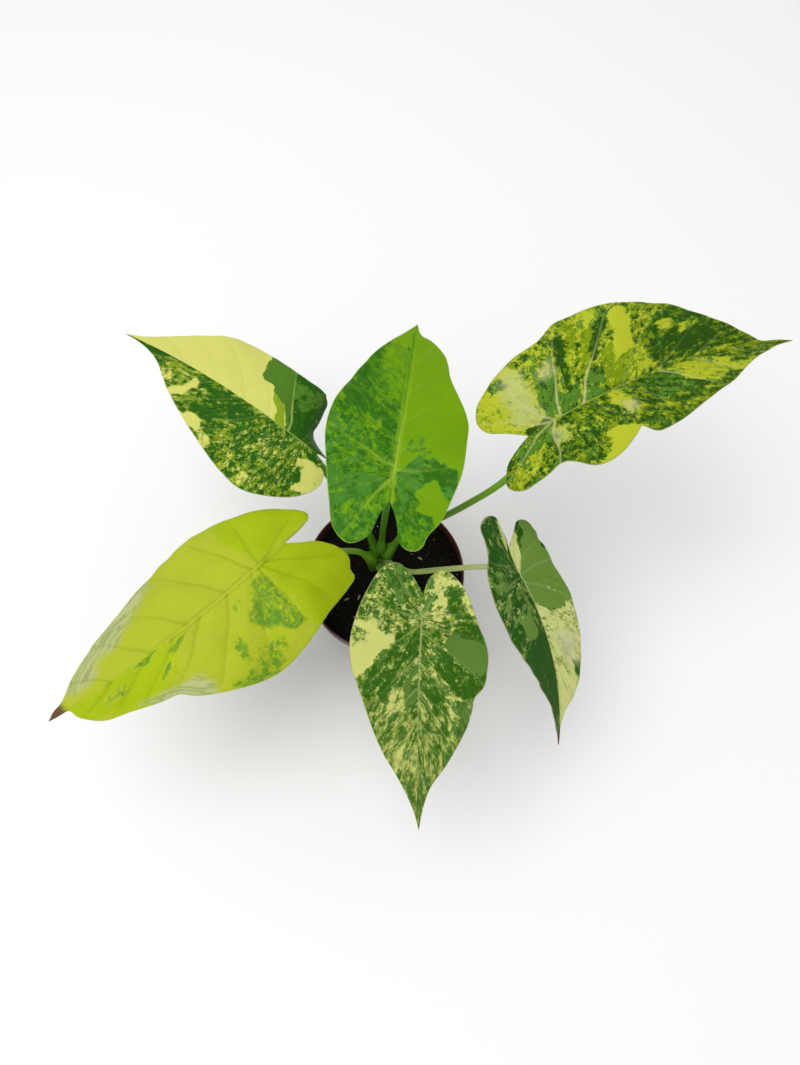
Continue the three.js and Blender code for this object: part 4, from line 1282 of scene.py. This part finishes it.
grow_leaf(
    "leaf_front_left",
    hub=(-73, -21, 165), heading=-136.5, pitch=4, length=148, notch=22, seed=51,
    droop=14, swerve=-16.3, lobe_droop=20, fold=-2, arch=22, wave=((2.5, 60, 0), (2.5, 60, 20)),
    left=[(143, 0.2), (134, 1), (130.5, 7), (118, 17), (103, 21), (86, 26.3), (76, 29), (68, 36.5),
          (46, 49), (28, 54), (5, 54), (-18, 47), (-36, 43.5), (-43.5, 41), (-43.5, 36), (-47, 31),
          (-47.5, 25), (-39, 12), (-29, 5)],
    right=[(143, 3.6), (137, 5.4), (132.5, 9), (125, 15.5), (105, 27.3), (80, 34.5), (60, 43), (49, 47.2),
           (38, 47.5), (10, 45.2), (-4, 42.5), (-12, 38.5), (-26, 29.5), (-37, 18.5), (-43, 12),
           (-45.5, 7.5), (-43.5, 3.6), (-36, 1.5)],
    foot=195, stalk_radius=1.95, sheath=1.0, sheath_top=110, stalk_tones=("#5f9418", "#96b43c"),
    stalk=[(-11, 7, 101), (-15, 7, 113), (-23, 4, 124), (-46, -6, 146)],
    vein_strength=0.3,
    veins={
        "left": [(-5, (-47, 28)), (-3, (-26, 45)), (-1, (-2, 52)), (4, (34, 53)), (22, (58, 43)),
                 (42, (78, 30)), (60, (98, 22)), (80, (114, 18)), (104, (128, 8))],
        "right": [(-5, (-44, 16)), (-3, (-8, 41)), (2, (24, 47)), (22, (54, 43)), (50, (82, 33)),
                  (76, (106, 26)), (104, (127, 13))],
    },
    relief=1.8, frill=0.15, mottle=1, blur=(0.5, 0), dry_from=134, strokes=0.12, groove=0.3,
    palette=("#b8c52e", "#aec40e", "#8aac26", "#66982a"), rim_colour="#bccb55",
    vein_colour="#869c14", vein_width=0.9, vein_reach=70,
    rib_colour="#c2d03c", rib_strength=0.4, rib_to=90,
    papery_colour="#c9ce98", papery_share=0.8, creases=0.6,
    ground={"left": (-0.72, -1.6), "right": (-1.6, -1.6)},
    patches=[
        (1.6, -1.6, 14, [(-50, 4), (-34, -4), (-4, 2), (-6, 60), (-50, 60)]),
        (1.6, -1.6, 14, [(-50, -4), (-4, -2), (6, -30), (-2, -60), (-50, -40)]),
        (1.4, -1.6, 14, [(58, 2), (80, 22), (100, 22), (134, 6), (130, 1)]),
        (0.06, 0.06, 4, [(-2, 4), (-3, 44), (6, 44), (20, 30), (24, 22), (16, 13), (6, 3)]),
        (0.5, 0.5, 3, [(5, 30), (10, 34), (18, 28), (16, 18), (11, 20)]),
        (0.39, 0.33, 2.5, [(3, 4), (9, 5), (7, 10), (3, 10)]),
        (-0.28, -0.17, 4, [(12, 40), (26, 34), (34, 40), (30, 54), (16, 50)]),
        (-0.06, 0.06, 3, [(31, 22), (38, 26), (40, 40), (34, 40)]),
        (0.06, 0.06, 4, [(26, 44), (36, 42), (54, 42), (44, 52), (28, 56)]),
        (0.39, 0.33, 2, [(51, 2), (58, 3), (68, 4), (66, 8), (56, 6)]),
        (0.44, 0.39, 1.6, [(70, 0.3), (90, 0.3), (88, 2), (80, 4), (72, 1.6)]),
        (0.22, 0.11, 2, [(68, 10), (76, 12), (78, 17), (70, 14)]),
        (-0.28, -0.22, 4, [(96, 5), (112, 6), (114, 13), (98, 11)]),
        (-0.33, -0.44, 2, [(18, 8), (26, 10), (24, 13), (16, 11)]),
    ],
    papery=[
        (6, [(57, 36), (60, 28), (76, 24), (96, 21), (88, 28), (70, 39), (62, 42)]),
        (8, [(58, -38), (76, -26), (88, -18), (104, -16), (112, -8), (128, -4), (134, -10), (106, -30),
             (80, -37), (60, -44)]),
    ],
)


# The front leaf. It hangs down before the pot. Its whole face is mottled green, sage and
# cream, with one plain cream block and one plain sage block between side veins.

grow_leaf(
    "leaf_front",
    hub=(22, -56, 178), heading=-93.1, pitch=26, length=130, notch=15, seed=61,
    droop=18, swerve=4.4, lobe_droop=24, fold=10, arch=18, wave=((2.5, 56, 42), (2.5, 56, 0)),
    left=[(115, 2.6), (100, 7), (82, 17.5), (63, 26.5), (50, 30), (42, 31), (36, 35.8), (28, 37.5),
          (15, 37.3), (0, 31.2), (-12, 26.3), (-22, 20), (-28, 11), (-24, 3.5)],
    right=[(115, 3), (96, 10), (74, 21), (46, 31), (27, 38), (12, 39), (-5, 35), (-18, 29.5), (-28, 23),
           (-31, 15), (-25, 7)],
    foot=284, stalk_radius=2.2, sheath=0.9, sheath_top=106, stalk_tones=("#5a8430", "#86a552"),
    stalk=[(0, -6, 107), (7, -25, 137)],
    vein_strength=0.45,
    veins={
        "left": [(-3, (-26, 15)), (-1, (-7, 29)), (1, (11, 36)), (6, (34, 36)), (24, (58, 28)),
                 (42, (76, 20)), (60, (92, 13)), (82, (106, 6))],
        "right": [(-3, (-30, 19)), (-1, (-10, 33)), (3, (31, 37)), (20, (52, 29)), (38, (68, 23)),
                  (56, (82, 16)), (78, (100, 9))],
    },
    relief=1.0, frill=0.25, mottle=0.85, blur=(0.16, 0.45), dry_from=126, strokes=0.5,
    palette=("#d4d87a", "#87a034", "#5c8232", "#32620a"), rim_colour="#b9bb7c",
    vein_colour="#9fb466", vein_width=0.6, vein_reach=28,
    rib_colour="#acbe7a", rib_strength=0.65, rib_to=118,
    ground={"left": (-0.03, 0.17), "right": (-0.04, 0.1)},
    patches=[
        (-0.5, -0.35, 2, [(-30, 11), (-24, 4), (-12, 3), (0, 6), (-1, 18), (-5, 31), (-22, 22)]),
        (-0.55, 0.66, 1.5, [(-25, 5), (-10, 1.5), (-3, 1), (-13, 8)]),
        (0.39, 0.28, 3, [(-18, 13), (-10, 12), (-4, 16), (0, 28), (-8, 24), (-18, 20)]),
        (0.61, 0.61, 3, [(5, 18), (10, 26), (10, 36), (2, 34), (0, 24)]),
        (0.06, 0.06, 3, [(1, 3), (14, 3), (12, 16), (4, 18)]),
        (-1.6, 1.6, 1.0, [(7, 16), (10, 28), (12, 37), (20, 39), (29, 38), (32, 34), (22, 22), (15, 14),
                          (10, 14)]),
        (0.61, 0.55, 3, [(28, 38), (44, 32), (42, 22), (34, 12), (20, 10), (17, 14), (30, 28)]),
        (-0.22, 0.55, 3, [(44, 31), (66, 26), (64, 18), (46, 20)]),
        (-0.44, -0.11, 3, [(32, 12), (40, 14), (58, 18), (54, 22), (36, 17)]),
        (0.44, 0.33, 3, [(38, 6), (50, 8), (48, 14), (38, 12)]),
        (-0.17, 0.11, 4, [(60, 2), (100, 1), (96, 9), (70, 18)]),
        (0.11, 0.17, 2.5, [(-32, -14), (-24, -6), (-10, -2), (-3, -4), (-6, -30), (-20, -30)]),
        (-0.5, 0.66, 2, [(-18, -9), (-9, -8), (-8, -16), (-16, -17)]),
        (-0.28, 0.55, 2, [(-30, -12), (-24, -10), (-20, -20), (-27, -22)]),
        (0.33, 0.28, 3, [(0, -1), (18, -2), (36, -13), (52, -26), (46, -31), (32, -30), (20, -18),
                         (8, -12)]),
        (-1.6, -1.6, 1.4, [(10, -14), (15, -17), (21, -25), (31, -32), (32, -38), (12, -41), (1, -36),
                           (1, -26), (7, -22)]),
        (-0.15, 0.0, 5, [(3, -29), (12, -29), (16, -38), (4, -39)]),
        (-0.5, 0.5, 3, [(24, -0.5), (52, -0.5), (50, -8), (34, -9)]),
        (-0.5, -0.28, 3, [(37, -9), (50, -9), (54, -17), (42, -17)]),
        (-0.44, -0.22, 4, [(70, -1), (88, -1), (88, -12), (76, -14)]),
        (-0.17, 0, 4, [(-6, -22), (2, -22), (0, -34), (-10, -32)]),
    ],
)


# The front right leaf. The smallest, rolled to one side on the thinnest, palest stalk. Its
# right half is dark green with sage patches, its left half plain sage and then cream.

grow_leaf(
    "leaf_front_right",
    hub=(81, -21, 152), heading=-56.3, pitch=24, roll=-26, length=110, notch=17, seed=71,
    droop=24, swerve=-24.3, lobe_droop=14, lobe_swerve=60, fold=18, arch=18,
    wave=((2, 56, 20), (2, 56, 0)),
    left=[(97, 0.8), (90, 3.5), (81, 10.3), (70, 16), (58, 21), (45, 24.6), (25, 25.2), (8, 23.8),
          (-9, 25.4), (-22, 22), (-33, 20.5), (-41, 15), (-37.5, 9), (-27, 6)],
    right=[(100, 4), (92, 7), (84, 9.3), (62, 22), (40, 31), (18, 34.8), (4, 36), (-6, 31), (-15, 23),
           (-21, 21.7), (-26, 23.3), (-32, 16), (-33, 8), (-26, 1.5)],
    foot=338, stalk_radius=1.7, sheath=0.7, sheath_top=106, stalk_tones=("#6c8c24", "#ccd692"),
    stalk=[(7, 1, 104), (17, -8, 119), (35, -11, 132), (62, -14, 146)],
    vein_strength=0.3,
    veins={
        "left": [(-4, (-38, 13)), (-2, (-22, 22)), (0, (3, 24.5)), (5, (29, 25)), (22, (48, 24)),
                 (40, (66, 18)), (60, (82, 11)), (80, (95, 4))],
        "right": [(-4, (-32, 14)), (-2, (-14, 25)), (1, (2, 34)), (12, (26, 34)), (30, (48, 28), 0.08),
                  (50, (68, 19), 0.06), (70, (86, 8), 0.06)],
    },
    relief=0.9, frill=0.25, mottle=0.6, blur=(0.14, 0.5), dry_from=98, strokes=0.45,
    palette=("#d6da8a", "#a2b256", "#6c9038", "#1e5600"), rim_colour="#b3a87c",
    vein_colour="#a3b878", vein_width=0.7, vein_reach=45,
    rib_colour="#b9c486", rib_strength=0.7, rib_to=80,
    papery_colour="#e2dfbe", papery_share=0.6, creases=0.1,
    ground={"left": (-0.38, -0.55), "right": (0.4, 0.42)},
    patches=[
        (-1.6, 1.6, 1.5, [(-43, 16), (-37, 9), (-15, 7), (-3, 2), (2, 0.3), (15, 0.3), (22, 3), (27, 8),
                          (28, 16), (26, 28), (-9, 28), (-35, 24)]),
        (-0.8, 0.9, 4, [(4, 12), (18, 10), (25, 15), (24, 24), (4, 23)]),
        (0.77, 0.77, 1.6, [(-38, 10.5), (-24, 10.5), (-14, 9), (-20, 6.5), (-37, 7)]),
        (0.66, 0.66, 2, [(-22, 24), (-12, 28), (-6, 25), (-12, 22), (-20, 22)]),
        (-1.6, -1.6, 1.2, [(-24, 6), (-12, 6.5), (-3, 2.2), (-2, 0.2), (-17, 0.1)]),
        (0.17, 0.11, 3, [(60, 13), (68, 12), (72, 17), (62, 20)]),
        (-0.75, -1.0, 5, [(60, 1), (92, 1), (86, 10), (70, 11)]),
        (0.55, 0.5, 3, [(-34, -8), (-26, -0.5), (-6, -1), (-10, -24), (-28, -24)]),
        (-0.8, -0.6, 2, [(-33, -2), (-22, -1.5), (-12, -3), (-22, -5), (-31, -8)]),
        (-0.28, 0.6, 3, [(-10, -20), (0, -14), (2, -28), (-6, -32)]),
        (-0.28, 0.5, 3, [(3, -3), (8, -3), (12, -20), (14, -32), (4, -34)]),
        (-0.17, 0.6, 3, [(14, -4), (19, -3), (24, -14), (22, -28), (14, -24)]),
        (-1.5, 1.6, 1.5, [(22, -9), (35, -8), (38, -14), (36, -19), (28, -21), (22, -22)]),
        (1.05, 0.95, 2, [(36, -1), (92, -0.4), (86, -8), (62, -22), (46, -30), (38, -20)]),
    ],
    papery=[
        (8, [(40, 8), (56, 8), (62, 16), (46, 20)]),
    ],
)


# The setting. A pale floor under the pot, soft daylight from all round with one large lamp
# above, and a camera that looks down on the plant from in front, as the photo does.

FLOOR_SIZE = 12
FLOOR_WHITE = (0.86, 0.86, 0.86, 1)
DAYLIGHT = 0.75
LAMP_PLACE = (-0.4, -0.1, 1.6)
LAMP_AIM = 0.15
LAMP_SIZE = 1.2
LAMP_POWER = 14
CAMERA_PLACE = (10.17, -187.90, 656.50)
CAMERA_ELEVATION = 69
FOCAL_PIXELS = 900
FRAME_HEIGHT = 1065
SENSOR = 36

floor_paint = Finish("floor_paint", 0.1)
floor_paint.feed("Base Color", FLOOR_WHITE)
floor_paint.feed("Roughness", 0.9)
bpy.ops.mesh.primitive_plane_add(size=FLOOR_SIZE, location=(0, 0, 0))
floor = bpy.context.object
floor.name = "floor"
floor.data.materials.append(floor_paint.material)

world = bpy.data.worlds.new("daylight")
bpy.context.scene.world = world
world.use_nodes = True
daylight = world.node_tree.nodes["Background"].inputs
daylight["Color"].default_value = (1, 1, 1, 1)
daylight["Strength"].default_value = DAYLIGHT

light = bpy.data.lights.new("key_lamp", "AREA")
light.shape = "DISK"
light.size = LAMP_SIZE
light.energy = LAMP_POWER
lamp = bpy.data.objects.new("key_lamp", light)
lamp.location = LAMP_PLACE
towards = -lamp.location
towards.z += LAMP_AIM
lamp.rotation_euler = towards.to_track_quat("-Z", "Y").to_euler()
bpy.context.scene.collection.objects.link(lamp)

lens = bpy.data.cameras.new("camera")
lens.sensor_width = SENSOR
lens.lens = FOCAL_PIXELS * SENSOR / FRAME_HEIGHT
lens.clip_start = 0.01
camera = bpy.data.objects.new("camera", lens)
camera.location = [c * MM for c in CAMERA_PLACE]
camera.rotation_euler = (math.radians(90 - CAMERA_ELEVATION), 0, 0)
bpy.context.scene.collection.objects.link(camera)
bpy.context.scene.camera = camera
bpy.context.scene.view_settings.view_transform = "Standard"
bpy.context.scene.view_settings.look = "None"
